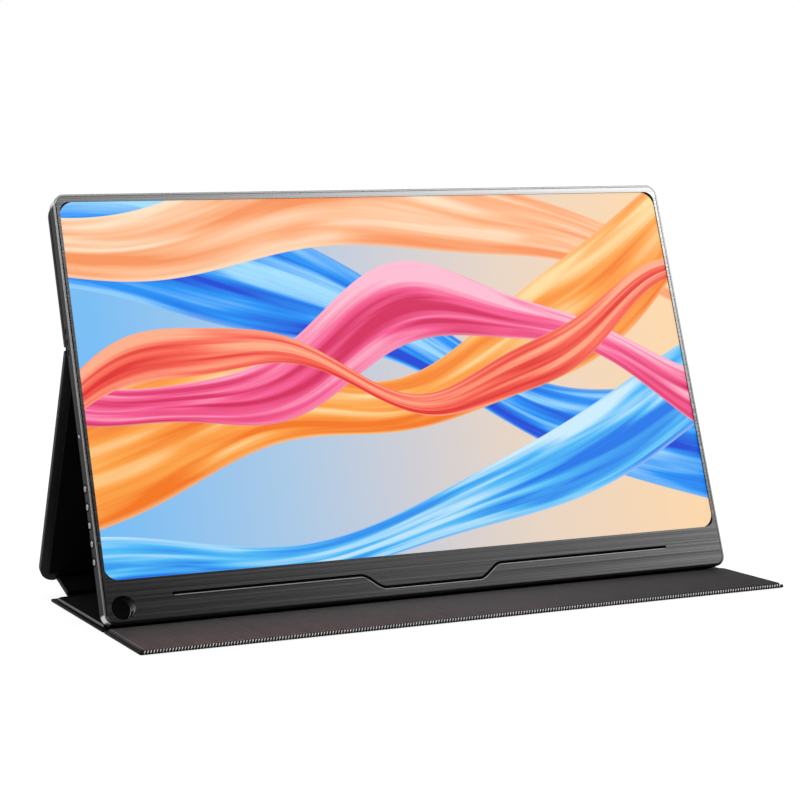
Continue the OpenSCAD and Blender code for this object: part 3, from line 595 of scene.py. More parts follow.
def beside(centre, along, reach, off=0.0, outer=0.0):
    """A point beside a fold line: so far along a panel, and off to the outer side."""
    return Vector(centre) + reach * direction(along) + off * direction(outer)


def arc(centre, start, end, steps):
    """Points round a fold line, on the strip's middle."""
    return [beside(centre, start + (end - start) * i / steps, STRIP_R) for i in range(steps + 1)]


STRIP_R = 0.64
UPPER, LEG = 90 - TILT, 90 + LEG_LEAN                    # the ways the panels point, as directions
LEG_DOWN, SPINE, SPINE_BACK = LEG_LEAN - 90, SPINE_RISE, 180 + SPINE_RISE
SPINE_OUT, DOWN = SPINE_RISE - 90, -90                   # the outer sides of the spine and of the base
KNEE_STEPS = ((3.0, 0.62), (1.2, 0.6), (0.55, 0.5))      # along the panel and off to the outer side
FLAP_STEPS = ((2.4, 0.62), (1.0, 0.6), (0.3, 0.3))

knee_points = ([beside(KNEE, UPPER, *step, -TILT) for step in KNEE_STEPS]
               + [beside(KNEE, LEG_DOWN, *step, LEG_LEAN) for step in KNEE_STEPS[::-1]])
knee_strip = strip("knee_crease", BODY_W / 2 - 1, knee_points, 0.5)
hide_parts("knee_fold")

foot_points = [beside(LEG_FOLD, LEG, 3.0, STRIP_R, LEG_LEAN), *arc(LEG_FOLD, LEG_LEAN, SPINE_OUT, 8),
               beside(LEG_FOLD, SPINE_BACK, 3.0, STRIP_R, SPINE_OUT)]
foot_strip = strip("foot_crease", SPINE_W / 2, foot_points, 0.6)
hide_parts("leg_fold")

heel_points = [beside(SPINE_FOLD, SPINE, 2.6, STRIP_R, SPINE_OUT), *arc(SPINE_FOLD, SPINE_OUT, DOWN, 3),
               beside(SPINE_FOLD, 180, 2.6, STRIP_R, DOWN)]
heel_strip = strip("heel_crease", SPINE_W / 2, heel_points, 0.9)
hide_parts("spine_fold")

flap_points = ([beside(FLAP_FOLD, 0, *step, DOWN) for step in FLAP_STEPS]
               + [beside(FLAP_FOLD, 180, *step, DOWN) for step in FLAP_STEPS[::-1]])
flap_strip = strip("flap_crease", BODY_W / 2 - 0.5, flap_points, 0.6)
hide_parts("flap_fold")


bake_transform(knee_strip)
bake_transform(foot_strip)
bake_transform(heel_strip)
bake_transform(flap_strip)
print("four fold strips")

# %% [markdown]
# ## Materials: values as wires
# A material is worked out by a net of nodes. To write such a net like a sum, we wrap a node's output in a
# small class: adding, multiplying or comparing two of these wires adds the maths node that does it.

# %% Wires
def fill(node, values):
    """Sets or wires up a node's inputs, by their names or numbers."""
    for key, value in values.items():
        socket = node.inputs[key]
        if isinstance(value, Wire):
            node.id_data.links.new(value.socket, socket)
        elif socket.type == "RGBA":
            socket.default_value = (*value, 1)
        else:
            socket.default_value = value


def wire(tree, kind, values, out=0, **settings):
    """A new node with its inputs and settings; the result is one of its outputs."""
    node = tree.nodes.new(kind)
    for key, value in settings.items():
        setattr(node, key, value)
    fill(node, values)
    return Wire(node.outputs[out])


class Wire:
    """One value in a node tree."""

    def __init__(self, socket):
        self.socket = socket
        self.tree = socket.id_data

    def maths(self, operation, *others):
        return wire(self.tree, "ShaderNodeMath", dict(enumerate((self, *others))), operation=operation)

    def __add__(self, other):
        return self.maths("ADD", other)

    def __sub__(self, other):
        return self.maths("SUBTRACT", other)

    def __rsub__(self, other):
        return wire(self.tree, "ShaderNodeMath", {0: other, 1: self}, operation="SUBTRACT")

    def __mul__(self, other):
        return self.maths("MULTIPLY", other)

    def __truediv__(self, other):
        return self.maths("DIVIDE", other)

    def __gt__(self, other):
        return self.maths("GREATER_THAN", other)

    def __lt__(self, other):
        return self.maths("LESS_THAN", other)

    def __abs__(self):
        return self.maths("ABSOLUTE")

    def max(self, other):
        return self.maths("MAXIMUM", other)

    def between(self, low, high):
        """1 between two numbers, else 0."""
        return (self > low) * (self < high)

    def length(self, other):
        """The length of the way that goes so far along and so far up."""
        return (self * self + other * other).maths("SQRT")

    def spread(self, low, high, to_low=0.0, to_high=1.0, **settings):
        """Maps a range to another range, clamped."""
        return wire(self.tree, "ShaderNodeMapRange", {0: self, 1: low, 2: high, 3: to_low, 4: to_high}, **settings)

    def mix(self, first, second):
        """A mix of two colours: the first where this is 0, the second where it is 1."""
        return wire(self.tree, "ShaderNodeMix", {0: self, 6: first, 7: second}, out=2, data_type="RGBA")

    def split(self):
        """The three parts of a vector."""
        node = self.tree.nodes.new("ShaderNodeSeparateXYZ")
        fill(node, {0: self})
        return [Wire(socket) for socket in node.outputs]

    def noise(self, scale, detail, **more):
        """A noise at this place."""
        return wire(self.tree, "ShaderNodeTexNoise", {"Vector": self, "Scale": scale, "Detail": detail, **more}, out="Fac")


def vector(x, y, z=0.0):
    """Three values as one vector."""
    return wire(x.tree, "ShaderNodeCombineXYZ", {0: x, 1: y, 2: z})


print("wires ready")

# %% [markdown]
# ## Groups that several finishes share
# Grain, brush lines and soft blotches turn up in many finishes, so each is a node group with named inputs,
# built once. A group only puts out numbers and colours; the shader stays in the material.

# %% Shared groups
def group(name, inputs, outputs):
    """An empty node group: its inputs as wires by their names, and its output node."""
    tree = bpy.data.node_groups.new(name, "ShaderNodeTree")
    kinds = {"F": "NodeSocketFloat", "V": "NodeSocketVector", "C": "NodeSocketColor"}
    for label, kind in inputs.items():
        tree.interface.new_socket(label, in_out="INPUT", socket_type=kinds[kind])
    for label, kind in outputs.items():
        tree.interface.new_socket(label, in_out="OUTPUT", socket_type=kinds[kind])
    start = tree.nodes.new("NodeGroupInput")
    return tree, {label: Wire(start.outputs[label]) for label in inputs}, tree.nodes.new("NodeGroupOutput")


def use(shared, tree, **values):
    """Places a shared group; the result is its outputs by their names."""
    node = tree.nodes.new("ShaderNodeGroup")
    node.node_tree = shared
    fill(node, values)
    return {socket.name: Wire(socket) for socket in node.outputs}


def leather_grain():
    """Pebbled cells with fine pores: a height and a mask of the valleys."""
    tree, given, end = group("leather_grain", {"Vector": "V", "Cell": "F", "Wrinkle": "F"},
                             {"Height": "F", "Valley": "F"})
    place_of = given["Vector"]
    cells = wire(tree, "ShaderNodeTexVoronoi", {"Vector": place_of, "Scale": given["Cell"]}, out="Distance",
                 feature="DISTANCE_TO_EDGE")
    cell = cells.spread(0.0, 0.22)
    pores, folds = place_of.noise(2600.0, 3.0), place_of.noise(45.0, 4.0, Distortion=0.6)
    fill(end, {"Height": cell + pores * 0.35 + folds * given["Wrinkle"], "Valley": 1.0 - cell})
    return tree


def brush_lines():
    """Long fine scratches along X, of two widths, and their slow change over the plate."""
    tree, given, end = group("brush_lines", {"Vector": "V", "Fine": "F", "Coarse": "F"},
                             {"Lines": "F", "Streaks": "F"})
    x, _, z = given["Vector"].split()
    for name, along, target in (("Fine", 4.0, "Lines"), ("Coarse", 0.8, "Streaks")):
        stretched = vector(x * along, 0.0, z * given[name])
        fill(end, {target: stretched.noise(1.0, 3.0, Roughness=0.65)})
    return tree


def soft_blotches():
    """Slow uneven patches and a fine speckle, for colour and gloss that are never quite even."""
    tree, given, end = group("soft_blotches", {"Vector": "V", "Patch": "F", "Speck": "F"},
                             {"Patches": "F", "Specks": "F"})
    fill(end, {"Patches": given["Vector"].noise(given["Patch"], 3.0),
               "Specks": given["Vector"].noise(given["Speck"], 2.0)})
    return tree


GRAIN, BRUSH, BLOTCH = leather_grain(), brush_lines(), soft_blotches()
print("groups:", GRAIN.name, BRUSH.name, BLOTCH.name)

# %% Material helpers
def grey(level):
    return (level, level, level)


class Paint:
    """A new material with its object coordinates, and patches and specks if their scales are given."""

    def __init__(self, name, patch=None, speck=None):
        self.material = bpy.data.materials.new(name)
        self.material.use_nodes = True
        self.tree = self.material.node_tree
        self.place = Wire(self.tree.nodes.new("ShaderNodeTexCoord").outputs["Object"])
        if patch:
            blotch = use(BLOTCH, self.tree, Vector=self.place, Patch=patch, Speck=speck)
            self.patches, self.specks = blotch["Patches"], blotch["Specks"]

    def face(self):
        """The place in the monitor's own frame: x across, y deep, z up the face, in metres."""
        return wire(self.tree, "ShaderNodeMapping",
                    {0: self.place, 1: (0, FACE_Y * MM, FACE_Z * MM), 2: (math.radians(-TILT), 0, 0)},
                    vector_type="TEXTURE")

    def face_parts(self):
        """The same as three numbers in millimetres."""
        return [part / MM for part in self.face().split()]

    def colour(self, low, high):
        """A colour that changes slowly from place to place."""
        return self.patches.spread(0.3, 0.7).mix(low, high)

    def gloss(self, low, high):
        """A roughness that changes from speck to speck."""
        return self.specks.spread(0.3, 0.7, low, high)

    def done(self, colour, rough, bump=None, **more):
        """Fills the shader. bump is a height, a strength and a distance in metres."""
        shader = self.tree.nodes["Principled BSDF"]
        fill(shader, {"Base Color": colour, "Roughness": rough})
        fill(shader, {key.replace("_", " "): value for key, value in more.items()})
        if bump:
            values = dict(zip(("Height", "Strength", "Distance"), bump))
            fill(shader, {"Normal": wire(self.tree, "ShaderNodeBump", values)})
        return self.material


def dress(material, *names):
    """Gives CAD nodes or new pieces their material."""
    for name in names:
        piece = nodes.get(name) or bpy.data.objects[name]
        piece.data.materials.clear()
        piece.data.materials.append(material)


print("material helpers ready")

# %% [markdown]
# ## Leather
# The outside of the cover is black and almost matt, with a fine pebble. The flap's inner side is a warm grey
# leather whose grain runs from front to back in fine ribs. Both use the same grain group; the ribs are
# a noise stretched along Y.

# %% Leather finishes
def black_leather(name, low, high, specular):
    paint = Paint(name, 22.0, 1800.0)
    grain = use(GRAIN, paint.tree, Vector=paint.place, Cell=850.0, Wrinkle=0.3)
    colour = paint.patches.spread(0.35, 0.7).mix(grey(low), grey(high))
    colour = (grain["Valley"] * 0.5).mix(colour, grey(0.0009))
    return paint.done(colour, paint.gloss(0.45, 0.62), (grain["Height"], 0.35, 0.00018),
                      Specular_IOR_Level=specular)


def ribbed_leather():
    """The flap's grey leather: painted lighter and warmer at the front left, with painted shade at the rear and towards
    the right end, where it is also duller.
    """
    paint = Paint("grey_leather", 14.0, 2200.0)
    grain = use(GRAIN, paint.tree, Vector=paint.place, Cell=1400.0, Wrinkle=0.2)
    stretched = wire(paint.tree, "ShaderNodeMapping", {0: paint.place, 3: (1.0, 0.035, 0.2)})
    rib = stretched.noise(820.0, 2.5, Roughness=0.6).spread(0.36, 0.64)
    x, y, _ = paint.place.split()
    # painted light: the front left is mixed to a lighter, warmer colour, and the rear next to the monitor is left
    # darker as painted shade
    painted_light = y.spread(-0.042, -0.08) * x.spread(0.08, -0.12)
    warm_painted_light = (painted_light * 0.88 + 0.08) * paint.patches.spread(0.2, 0.7, 0.6, 1.2)
    # painted shade: the leather turns darker towards the right end
    colour = x.spread(0.0, 0.17).mix(grey(0.0145), (0.0045, 0.0047, 0.005))
    colour = warm_painted_light.mix(colour, (0.050, 0.028, 0.0255))
    colour = (rib * 0.6).mix(colour, (0.011, 0.010, 0.010))
    return paint.done(colour, paint.gloss(0.55, 0.75), (rib * 0.8 + grain["Height"] * 0.4, 0.4, 0.00015),
                      Specular_IOR_Level=x.spread(0.02, 0.16, 0.1, 0.03))


def brushed_lining(name, edge, rim_highlight_level):
    """Black suede cloth; its rolled rim, past |x| = edge, carries a painted highlight."""
    paint = Paint(name, 35.0, 3200.0)
    colour = paint.specks.spread(0.35, 0.65).mix((0.0012, 0.0012, 0.0013), (0.0034, 0.0034, 0.0035))
    # painted highlight: the rim past |x| = edge is paler
    painted_light = abs(paint.place.split()[X]) > edge * MM
    return paint.done(painted_light.mix(colour, grey(rim_highlight_level)), paint.patches.spread(0.3, 0.7, 0.8, 0.95),
                      (paint.specks, 0.35, 0.0002), Specular_IOR_Level=0.04)


def thread(name, low, high):
    """Twisted pale thread, with painted shade darkening its lower half where it turns under the edge."""
    paint = Paint(name)
    twist = wire(paint.tree, "ShaderNodeTexWave", {"Vector": paint.place, "Scale": 900.0, "Distortion": 1.0},
                 out="Fac", wave_type="BANDS", bands_direction="DIAGONAL")
    # painted shade: below 0.9 to 1.4 mm height the thread turns dark grey
    outside_painted_shade = paint.place.split()[Z].spread(0.9 * MM, 1.4 * MM)
    return paint.done(outside_painted_shade.mix(grey(0.012), twist.mix(low, high)), 0.6, (twist, 0.4, 0.0001))


# one leather in two copies of different brightness: the spine, base, flap and fold pieces take the darker, duller copy
# as painted shade
leather = black_leather("black_leather", 0.0012, 0.0028, 0.04)
dress(black_leather("lighter_leather_copy", 0.0045, 0.009, 0.12),
      "upper_leather", "leg_leather", "knee_crease", "upper_skin", "leg_skin", "knee_fold")
dress(leather, "spine_leather", "base_leather", "flap_leather", "foot_crease", "heel_crease", "flap_crease",
      "spine_skin", "base_skin", "flap_skin", "leg_fold", "spine_fold", "flap_fold", "flap_edge", "flap_binding")
dress(brushed_lining("black_lining", 170.05, 0.02),
      "upper_cloth", "leg_cloth", "spine_cloth", "upper_lining", "leg_lining", "spine_lining")
dress(brushed_lining("pad_lining", 172.4, 0.2), "rear_pad", "rear_pad_lining")
dress(ribbed_leather(), "flap_pad", "flap_pad_lining")
dress(thread("edge_thread", (0.42, 0.415, 0.41), (0.74, 0.73, 0.72)), "edge_stitches")
dress(thread("seam_thread", (0.07, 0.068, 0.066), (0.16, 0.155, 0.15)), "flap_seam_left", "flap_seam_right")
print("leather, lining and thread dressed")

# %% [markdown]
# ## Metal
# The front plate is brushed along its length: fine lines and wider streaks that change the gloss and tilt
# the surface a little. The rear shell is blasted and coated, so it has a fine even grain instead. Cut edges
# and the places of painted shade and painted highlights are found by their depth behind the face and their height up
# the face, both in millimetres.

# %% Metal finishes
PLATE_SKIN = 0.04                         # deeper than this behind the plate's face lies a groove
GROOVE_HALF = 1.6
LAND_DEPTH, FACET_DEPTH = 0.31, 0.68      # the shell's flat rim ends here, and its slanted facet there
FLANK_X = 174.5
CORNER_START, CORNER_FULL = 6.0, 5.2      # the painted highlights on the corners, from the body's lower and upper end


def brushed_plate():
    """Brushed metal, with painted shade in the groove, in the gap to the shell and towards the left end, and a painted
    highlight on the groove's lower lip.
    """
    paint = Paint("bezel_metal")
    lines = use(BRUSH, paint.tree, Vector=paint.face(), Fine=5200.0, Coarse=900.0)
    blend = lines["Lines"] * 0.45 + lines["Streaks"] * 0.55
    x, depth, tall = paint.face_parts()
    across = abs(x)
    # the groove's middle line as a height over |x|: high outside, low inside, slanted between
    line = across.spread(GROOVE_IN, GROOVE_OUT, GROOVE_LOW, GROOVE_HIGH, interpolation_type="SMOOTHSTEP")
    slanted = across.between(GROOVE_IN + 3.5, GROOVE_OUT - 3.5)
    off = (tall - line) * (1.0 - slanted * 0.2)
    # painted shade: the groove and the gap to the shell turn nearly black and lose their gloss
    recess_painted_shade = (depth > PLATE_SKIN) * off.between(-GROOVE_HALF, GROOVE_HALF) * (across < GROOVE_END)
    recess_painted_shade = recess_painted_shade.max(across > PLATE_W / 2 - 0.3)
    # painted highlight: a pale line on the groove's lower lip
    lip_painted_highlight = (depth < PLATE_SKIN) * off.between(-1.04, -0.74) * (across < GROOVE_END - 0.9)
    colour = blend.spread(0.36, 0.64).mix((0.050, 0.050, 0.051), (0.160, 0.160, 0.162))
    # painted shade: the plate is darker towards its left end
    colour = x.spread(-10, -170, 0.0, 0.4).mix(colour, grey(0.02))
    colour = lip_painted_highlight.mix(colour, (0.45, 0.45, 0.46))
    colour = recess_painted_shade.mix(colour, grey(0.003))
    return paint.done(colour, blend.spread(0.35, 0.65, 0.15, 0.24), (blend, 0.12, 0.00004),
                      Metallic=1.0 - recess_painted_shade.max(lip_painted_highlight * 0.7), Specular_IOR_Level=0.5 - recess_painted_shade * 0.5)


def coated_shell():
    """Blasted dark coating, painted paler towards the top. The narrow rim round the plate is cut metal, faded out near
    the bottom as painted shade; painted highlights lie along the side flanks and on the edges of the round corners.
    """
    paint = Paint("housing_metal", 18.0, 4200.0)
    x, depth, tall = paint.face_parts()
    across = abs(x)
    # the rim's cut metal fades out near the bottom: painted shade there
    land = (depth < LAND_DEPTH) * tall.spread(1.0, 5.0)
    facet = depth.between(LAND_DEPTH, FACET_DEPTH)
    # painted highlight along the side flanks
    flank_painted_highlight = facet * (across > FLANK_X)
    low_end = tall.spread(CORNER_START, CORNER_FULL)
    high_end = tall.spread(BODY_H - CORNER_START, BODY_H - CORNER_FULL)
    # painted highlight on the edges of the round corners
    corner_painted_highlight = low_end.max(high_end) * depth.between(0.5, 6.8) * across.spread(171.9, 172.5)
    speckle = paint.gloss(0.0, 1.0)
    low = speckle.mix((0.003, 0.003, 0.0031), (0.007, 0.007, 0.0072))
    high = speckle.mix((0.020, 0.020, 0.0203), (0.034, 0.034, 0.0345))
    # the facet's cut metal also fades out near the bottom: painted shade
    metal = land.max(facet * tall.spread(4, 20))
    # painted light: the coating is paler towards the top
    colour = tall.spread(90, 215).mix(low, high)
    colour = metal.mix(colour, (0.095, 0.095, 0.097))
    colour = flank_painted_highlight.mix(colour, (0.24, 0.24, 0.243))
    colour = corner_painted_highlight.mix(colour, (0.50, 0.50, 0.505))
    return paint.done(colour, paint.patches.spread(0.3, 0.7, 0.26, 0.36), (paint.specks, 0.15, 0.00004),
                      Metallic=(metal - flank_painted_highlight * 0.6).max(corner_painted_highlight), IOR=1.065)


def plain_metal(name, low, high, rough_low, rough_high, scale):
    """Bare or plated sheet metal with faint handling marks."""
    paint = Paint(name, scale, scale * 30)
    return paint.done(paint.colour(low, high), paint.gloss(rough_low, rough_high), Metallic=1.0)


dress(brushed_plate(), "front_bezel")
dress(coated_shell(), "rear_shell")
dress(plain_metal("tray_steel", (0.42, 0.43, 0.44), (0.56, 0.57, 0.58), 0.3, 0.45, 40.0), "panel_tray")
dress(plain_metal("screw_steel", (0.5, 0.5, 0.51), (0.62, 0.62, 0.63), 0.2, 0.35, 300.0), "tray_screws", "board_screws")
dress(plain_metal("socket_steel", (0.52, 0.52, 0.54), (0.66, 0.66, 0.68), 0.18, 0.3, 300.0),
      "usb_c_socket_1", "usb_c_socket_2", "mini_hdmi_socket")
dress(plain_metal("magnet_metal", (0.4, 0.4, 0.42), (0.5, 0.5, 0.52), 0.15, 0.3, 200.0),
      "housing_magnets", "cover_magnets", "flap_magnets")
print("metals dressed")

# %% [markdown]
# ## Plastics, boards and films
# The inner pieces are seen only when the monitor is opened, and still get finishes of their own: solder mask
# with traces, matt chips, clear and white films.

# %% Plastics
def plastic(name, low, high, rough, scale, specular=0.5, bump=0.1):
    """A moulded or cast finish that varies a little in colour and gloss."""
    paint = Paint(name, scale, scale * 25)
    return paint.done(paint.colour(low, high), paint.gloss(rough - 0.06, rough + 0.06),
                      (paint.specks, bump, 0.00005), Specular_IOR_Level=specular)


def solder_mask():
    """Green mask over copper traces, drawn by a stretched brick pattern."""
    paint = Paint("circuit_board", 60.0, 1500.0)
    x, _, z = paint.face().split()
    pattern = {"Vector": vector(x, z), "Scale": 120.0, "Mortar Size": 0.035, "Brick Width": 0.9, "Row Height": 0.22}
    traces = wire(paint.tree, "ShaderNodeTexBrick", pattern, out="Fac", offset=0.37)
    colour = traces.mix(paint.colour((0.004, 0.07, 0.03), (0.006, 0.10, 0.045)), (0.02, 0.20, 0.08))
    return paint.done(colour, 0.32, (traces, 0.3, 0.00005))


def key_finish():
    """Black keys with a painted highlight on their rim."""
    paint = Paint("key_plastic", 300.0, 6000.0)
    _, depth, tall = paint.face_parts()
    tall = (tall - KEY_LOW).maths("WRAP", KEY_PITCH / 2, -KEY_PITCH / 2)
    # painted highlight: a pale metallic ring round each key
    rim_painted_highlight = (depth - KEY_DEPTH).length(tall).spread(0.95, 1.15)
    colour = rim_painted_highlight.mix(paint.colour(grey(0.003), grey(0.008)), (0.26, 0.26, 0.265))
    return paint.done(colour, paint.gloss(0.18, 0.3), Metallic=rim_painted_highlight)


dress(solder_mask(), "main_board", "button_board")
dress(key_finish(), *("button_%d" % number for number in range(1, 6)))
dress(plastic("black_plastic", grey(0.006), grey(0.012), 0.38, 60.0), "pen_sleeve", "audio_jack",
      "speaker_left", "speaker_right")
dress(plastic("chip_black", (0.008, 0.008, 0.008), (0.016, 0.016, 0.017), 0.55, 200.0), "board_chips", "key_switches")
dress(plastic("gasket_rubber", grey(0.003), grey(0.007), 0.75, 80.0, 0.2), "display_gasket")
dress(plastic("heat_pad_rubber", (0.28, 0.33, 0.38), (0.36, 0.41, 0.46), 0.8, 90.0, 0.2, 0.3), "heat_pad")
dress(plastic("white_film", (0.80, 0.80, 0.78), (0.88, 0.88, 0.86), 0.45, 20.0), "diffuser_sheet", "reflector_sheet")
dress(plastic("clear_acrylic", (0.66, 0.74, 0.78), (0.74, 0.82, 0.85), 0.12, 15.0), "light_guide", "status_light_pipe")
dress(plastic("led_phosphor", (0.78, 0.66, 0.18), (0.86, 0.76, 0.28), 0.5, 200.0), "led_strip")
dress(plastic("cell_glass", (0.010, 0.010, 0.016), (0.016, 0.016, 0.024), 0.1, 12.0), "lcd_cell")
dress(plastic("amber_film", (0.45, 0.22, 0.03), (0.55, 0.30, 0.05), 0.35, 90.0), "panel_ribbon")
dress(plastic("grey_film", (0.58, 0.58, 0.56), (0.68, 0.68, 0.65), 0.4, 90.0), "button_ribbon")
dress(plastic("grey_board", (0.14, 0.12, 0.10), (0.20, 0.17, 0.14), 0.85, 50.0, 0.2, 0.4), "upper_board", "leg_board",
      "spine_board", "rear_pad_board", "flap_pad_board")
print("plastics dressed")

# %% [markdown]
# ## The picture on the screen
# The screen shows a made-up picture: wide silk ribbons over a soft sky-to-peach ground. One group draws one
# ribbon over whatever lies below it, and is placed several times. A ribbon is a band round a slow wave. Its
# folds are a noise that is stretched along the band. The picture glows, so it feeds the emission colour.

# %% Ribbon group
def ribbon_group():
    labels = {"Ground": "C", "U": "F", "V": "F", "Height": "F", "Slope": "F", "Swing": "F", "Waves": "F",
              "Phase": "F", "Width": "F", "Pinch": "F", "Dark": "C", "Middle": "C", "Light": "C"}
    tree, given, end = group("silk_ribbon", labels, {"Colour": "C"})
    ground, u, v, height, slope, swing, waves, phase, width, pinch, dark, middle, light = given.values()
    wave = (u * waves + phase).maths("SINE")
    ripple = (u * (waves * 2.7) + phase * 3.0).maths("SINE")
    centre = height + u * slope + wave * swing + ripple * (swing * 0.16)
    width = ((u * (waves * 1.35) + phase).maths("SINE") * pinch + 1.0) * width
    across = (v - centre) / width
    folds = vector(across * 1.7, u * 1.9, phase).noise(1.6, 2.0, Roughness=0.42, Distortion=0.35)
    threads = vector(across * 22.0, u * 3.0).noise(1.0, 3.0)
    body = folds.spread(0.34, 0.66) + (threads - 0.5) * 0.35 + across * 0.22
    colour = body.spread(0.5, 1.05).mix(body.spread(0.0, 0.5).mix(dark, middle), light)
    colour = (abs(across).spread(0.90, 0.985) * 0.45).mix(colour, light)
    fill(end, {"Colour": abs(across).spread(0.985, 1.0, 1.0, 0.0).mix(ground, colour)})
    return tree


RIBBON = ribbon_group()
print("ribbon group:", len(RIBBON.nodes), "nodes")

# %% Picture
def srgb(r, g, b):
    """A colour read from a screen, 0 to 255, as Blender's linear values."""
    return tuple(c / 12.92 if c <= 0.04045 else ((c + 0.055) / 1.055) ** 2.4 for c in (r / 255, g / 255, b / 255))


PICTURE_W, PICTURE_H, PICTURE_R = 345.0, 194.4, 8.4
GROUND = {0.02: srgb(118, 190, 246), 0.3: srgb(172, 203, 232), 0.5: srgb(208, 207, 214),
          0.7: srgb(234, 214, 196), 0.98: srgb(253, 216, 172)}
# each dark, middle and light
BLUES = (srgb(10, 70, 215), srgb(25, 150, 250), srgb(165, 225, 255))
CYANS = (srgb(20, 120, 235), srgb(80, 190, 250), srgb(205, 238, 255))
PINKS = (srgb(214, 38, 92), srgb(250, 92, 148), srgb(255, 190, 212))
REDS = (srgb(226, 48, 44), srgb(252, 104, 84), srgb(255, 176, 140))
ORANGES = (srgb(246, 120, 24), srgb(255, 166, 72), srgb(255, 222, 160))
PEACHES = (srgb(250, 150, 92), srgb(255, 186, 138), srgb(255, 228, 196))
# height, slope, swing, waves, phase, width and pinch of each ribbon, from the lowest one up
RIBBONS = [
    (0.86, -0.55, 0.10, 5.0, 0.4, 0.130, 0.35, BLUES),
    (-0.05, 0.42, 0.09, 4.2, 2.6, 0.085, 0.45, CYANS),
    (0.98, -0.20, 0.12, 4.6, 5.2, 0.110, 0.30, PEACHES),
    (0.20, 0.62, 0.11, 5.6, 1.2, 0.120, 0.40, ORANGES),
    (0.58, -0.06, 0.15, 6.4, 3.9, 0.085, 0.45, PINKS),
    (0.44, 0.18, 0.13, 7.3, 0.3, 0.045, 0.50, REDS),
]


def soft_ground(u):
    """The colours behind the ribbons, from left to right."""
    node = u.tree.nodes.new("ShaderNodeValToRGB")
    ramp = node.color_ramp
    ramp.elements[0].position, ramp.elements[1].position = min(GROUND), max(GROUND)
    for position in sorted(GROUND)[1:-1]:
        ramp.elements.new(position)
    for element, position in zip(ramp.elements, sorted(GROUND)):
        element.color = (*GROUND[position], 1)
    fill(node, {0: u})
    return Wire(node.outputs[0])


def picture():
    paint = Paint("picture_film")
    x, _, tall = paint.face_parts()
    u = x / PICTURE_W + 0.5
    v = (tall - (MIDDLE_Z - PICTURE_H / 2)) / PICTURE_H
    colour = soft_ground(u)
    for height, slope, swing, waves, phase, width, pinch, (dark, middle, light) in RIBBONS:
        colour = use(RIBBON, paint.tree, Ground=colour, U=u, V=v, Height=height, Slope=slope, Swing=swing,
                     Waves=waves, Phase=phase, Width=width, Pinch=pinch, Dark=dark, Middle=middle,
                     Light=light)["Colour"]
    # the picture's corners are rounder than the window's, so a black crescent shows in each
    across = (abs(x) - (PICTURE_W / 2 - PICTURE_R)).max(0.0)
    along = (abs(tall - MIDDLE_Z) - (PICTURE_H / 2 - PICTURE_R)).max(0.0)
    lit = across.length(along).spread(PICTURE_R - 0.35, PICTURE_R - 0.15, 1.0, 0.0)
    return paint.done(grey(0.004), 0.4, Emission_Color=lit.mix(grey(0.0), colour), Emission_Strength=0.97,
                      Specular_IOR_Level=0.05)


dress(picture(), "screen_front")
print("ribbons in the picture:", len(RIBBONS))

# %% [markdown]
# ## Studio
# A pale floor and even light: the world and three large lamps light the part at a plain level. The floor and
# the world read white to the camera and to reflections, and the floor still takes a soft shadow.

# %% Floor, world and lamps
def seen(tree):
    """1 for the rays that see the backdrop: camera, gloss and glass."""
    path = tree.nodes.new("ShaderNodeLightPath")
    eye, gloss, glass = (Wire(path.outputs["Is %s Ray" % kind]) for kind in ("Camera", "Glossy", "Transmission"))
    return eye.max(gloss.max(glass))


def bare_material(name):
    """A material without a shader: its tree and its output node."""
    material = bpy.data.materials.new(name)
    material.use_nodes = True
    tree = material.node_tree
    tree.nodes.remove(tree.nodes["Principled BSDF"])
    return material, tree, tree.nodes["Material Output"]


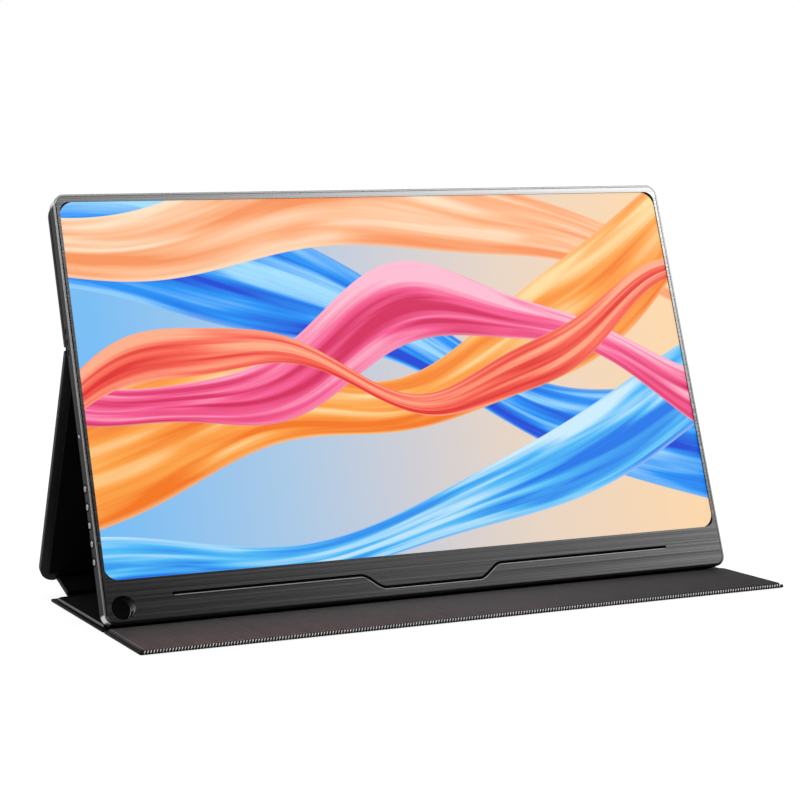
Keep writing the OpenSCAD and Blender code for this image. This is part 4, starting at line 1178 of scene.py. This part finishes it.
def floor_finish():
    material, tree, end = bare_material("pale_floor")
    matt = wire(tree, "ShaderNodeBsdfDiffuse", {"Color": grey(0.9)})
    glow = wire(tree, "ShaderNodeEmission", {"Color": grey(1), "Strength": 1.14})
    fill(end, {"Surface": wire(tree, "ShaderNodeMixShader", {0: seen(tree) * 0.78, 1: matt, 2: glow})})
    return material


floor = new_piece("floor", bpy.ops.mesh.primitive_plane_add, size=12, location=(0, 0, -0.3 * MM))
floor.data.materials.append(floor_finish())

world = bpy.data.worlds.new("studio")
bpy.context.scene.world = world
world.use_nodes = True
ambient = seen(world.node_tree).spread(0.0, 1.0, 0.55, 1.0)
fill(world.node_tree.nodes["Background"], {"Color": grey(1), "Strength": ambient})


def aimed(where, aim):
    """A matrix for a thing that stands at a point and looks at another."""
    way = Vector(aim) - Vector(where)
    return Matrix.Translation(where) @ way.to_track_quat("-Z", "Y").to_matrix().to_4x4()


def lamp(name, where, aim, width, height, power):
    """A soft box that looks at a point."""
    data = bpy.data.lights.new(name, "AREA")
    data.shape, data.size, data.size_y, data.energy = "RECTANGLE", width, height, power
    thing = bpy.data.objects.new(name, data)
    bpy.context.scene.collection.objects.link(thing)
    thing.matrix_world = aimed(where, aim)
    return thing


key = lamp("key_box", (1.5, -1.6, 2.0), (0, 0, 0.1), 1.6, 1.2, 22)
key.visible_glossy = False                 # the reflector stands in for it in reflections
lamp("side_box", (-1.9, -0.2, 1.2), (0, 0, 0.1), 1.0, 1.0, 8)
lamp("top_box", (0.0, 0.6, 2.2), (0, 0, 0.0), 1.6, 1.2, 14)


def reflector():
    """A panel that only reflections see, dark at the lower left and bright at the upper right."""
    panel = new_piece("reflector", bpy.ops.mesh.primitive_plane_add, size=4.2)
    panel.matrix_world = aimed((0.546, -1.226, 0.99), (0, 0, 0.11))
    panel.visible_camera = panel.visible_diffuse = panel.visible_transmission = panel.visible_shadow = False
    material, tree, end = bare_material("reflector")
    x, y, _ = Wire(tree.nodes.new("ShaderNodeTexCoord").outputs["Object"]).split()
    light = (x * 3.6 + y * 4.6 + 0.46).maths("EXPONENT").maths("MINIMUM", 12.0)
    fill(end, {"Surface": wire(tree, "ShaderNodeEmission", {"Color": grey(1), "Strength": light})})
    panel.data.materials.append(material)
    return panel


reflector()
print("studio ready")
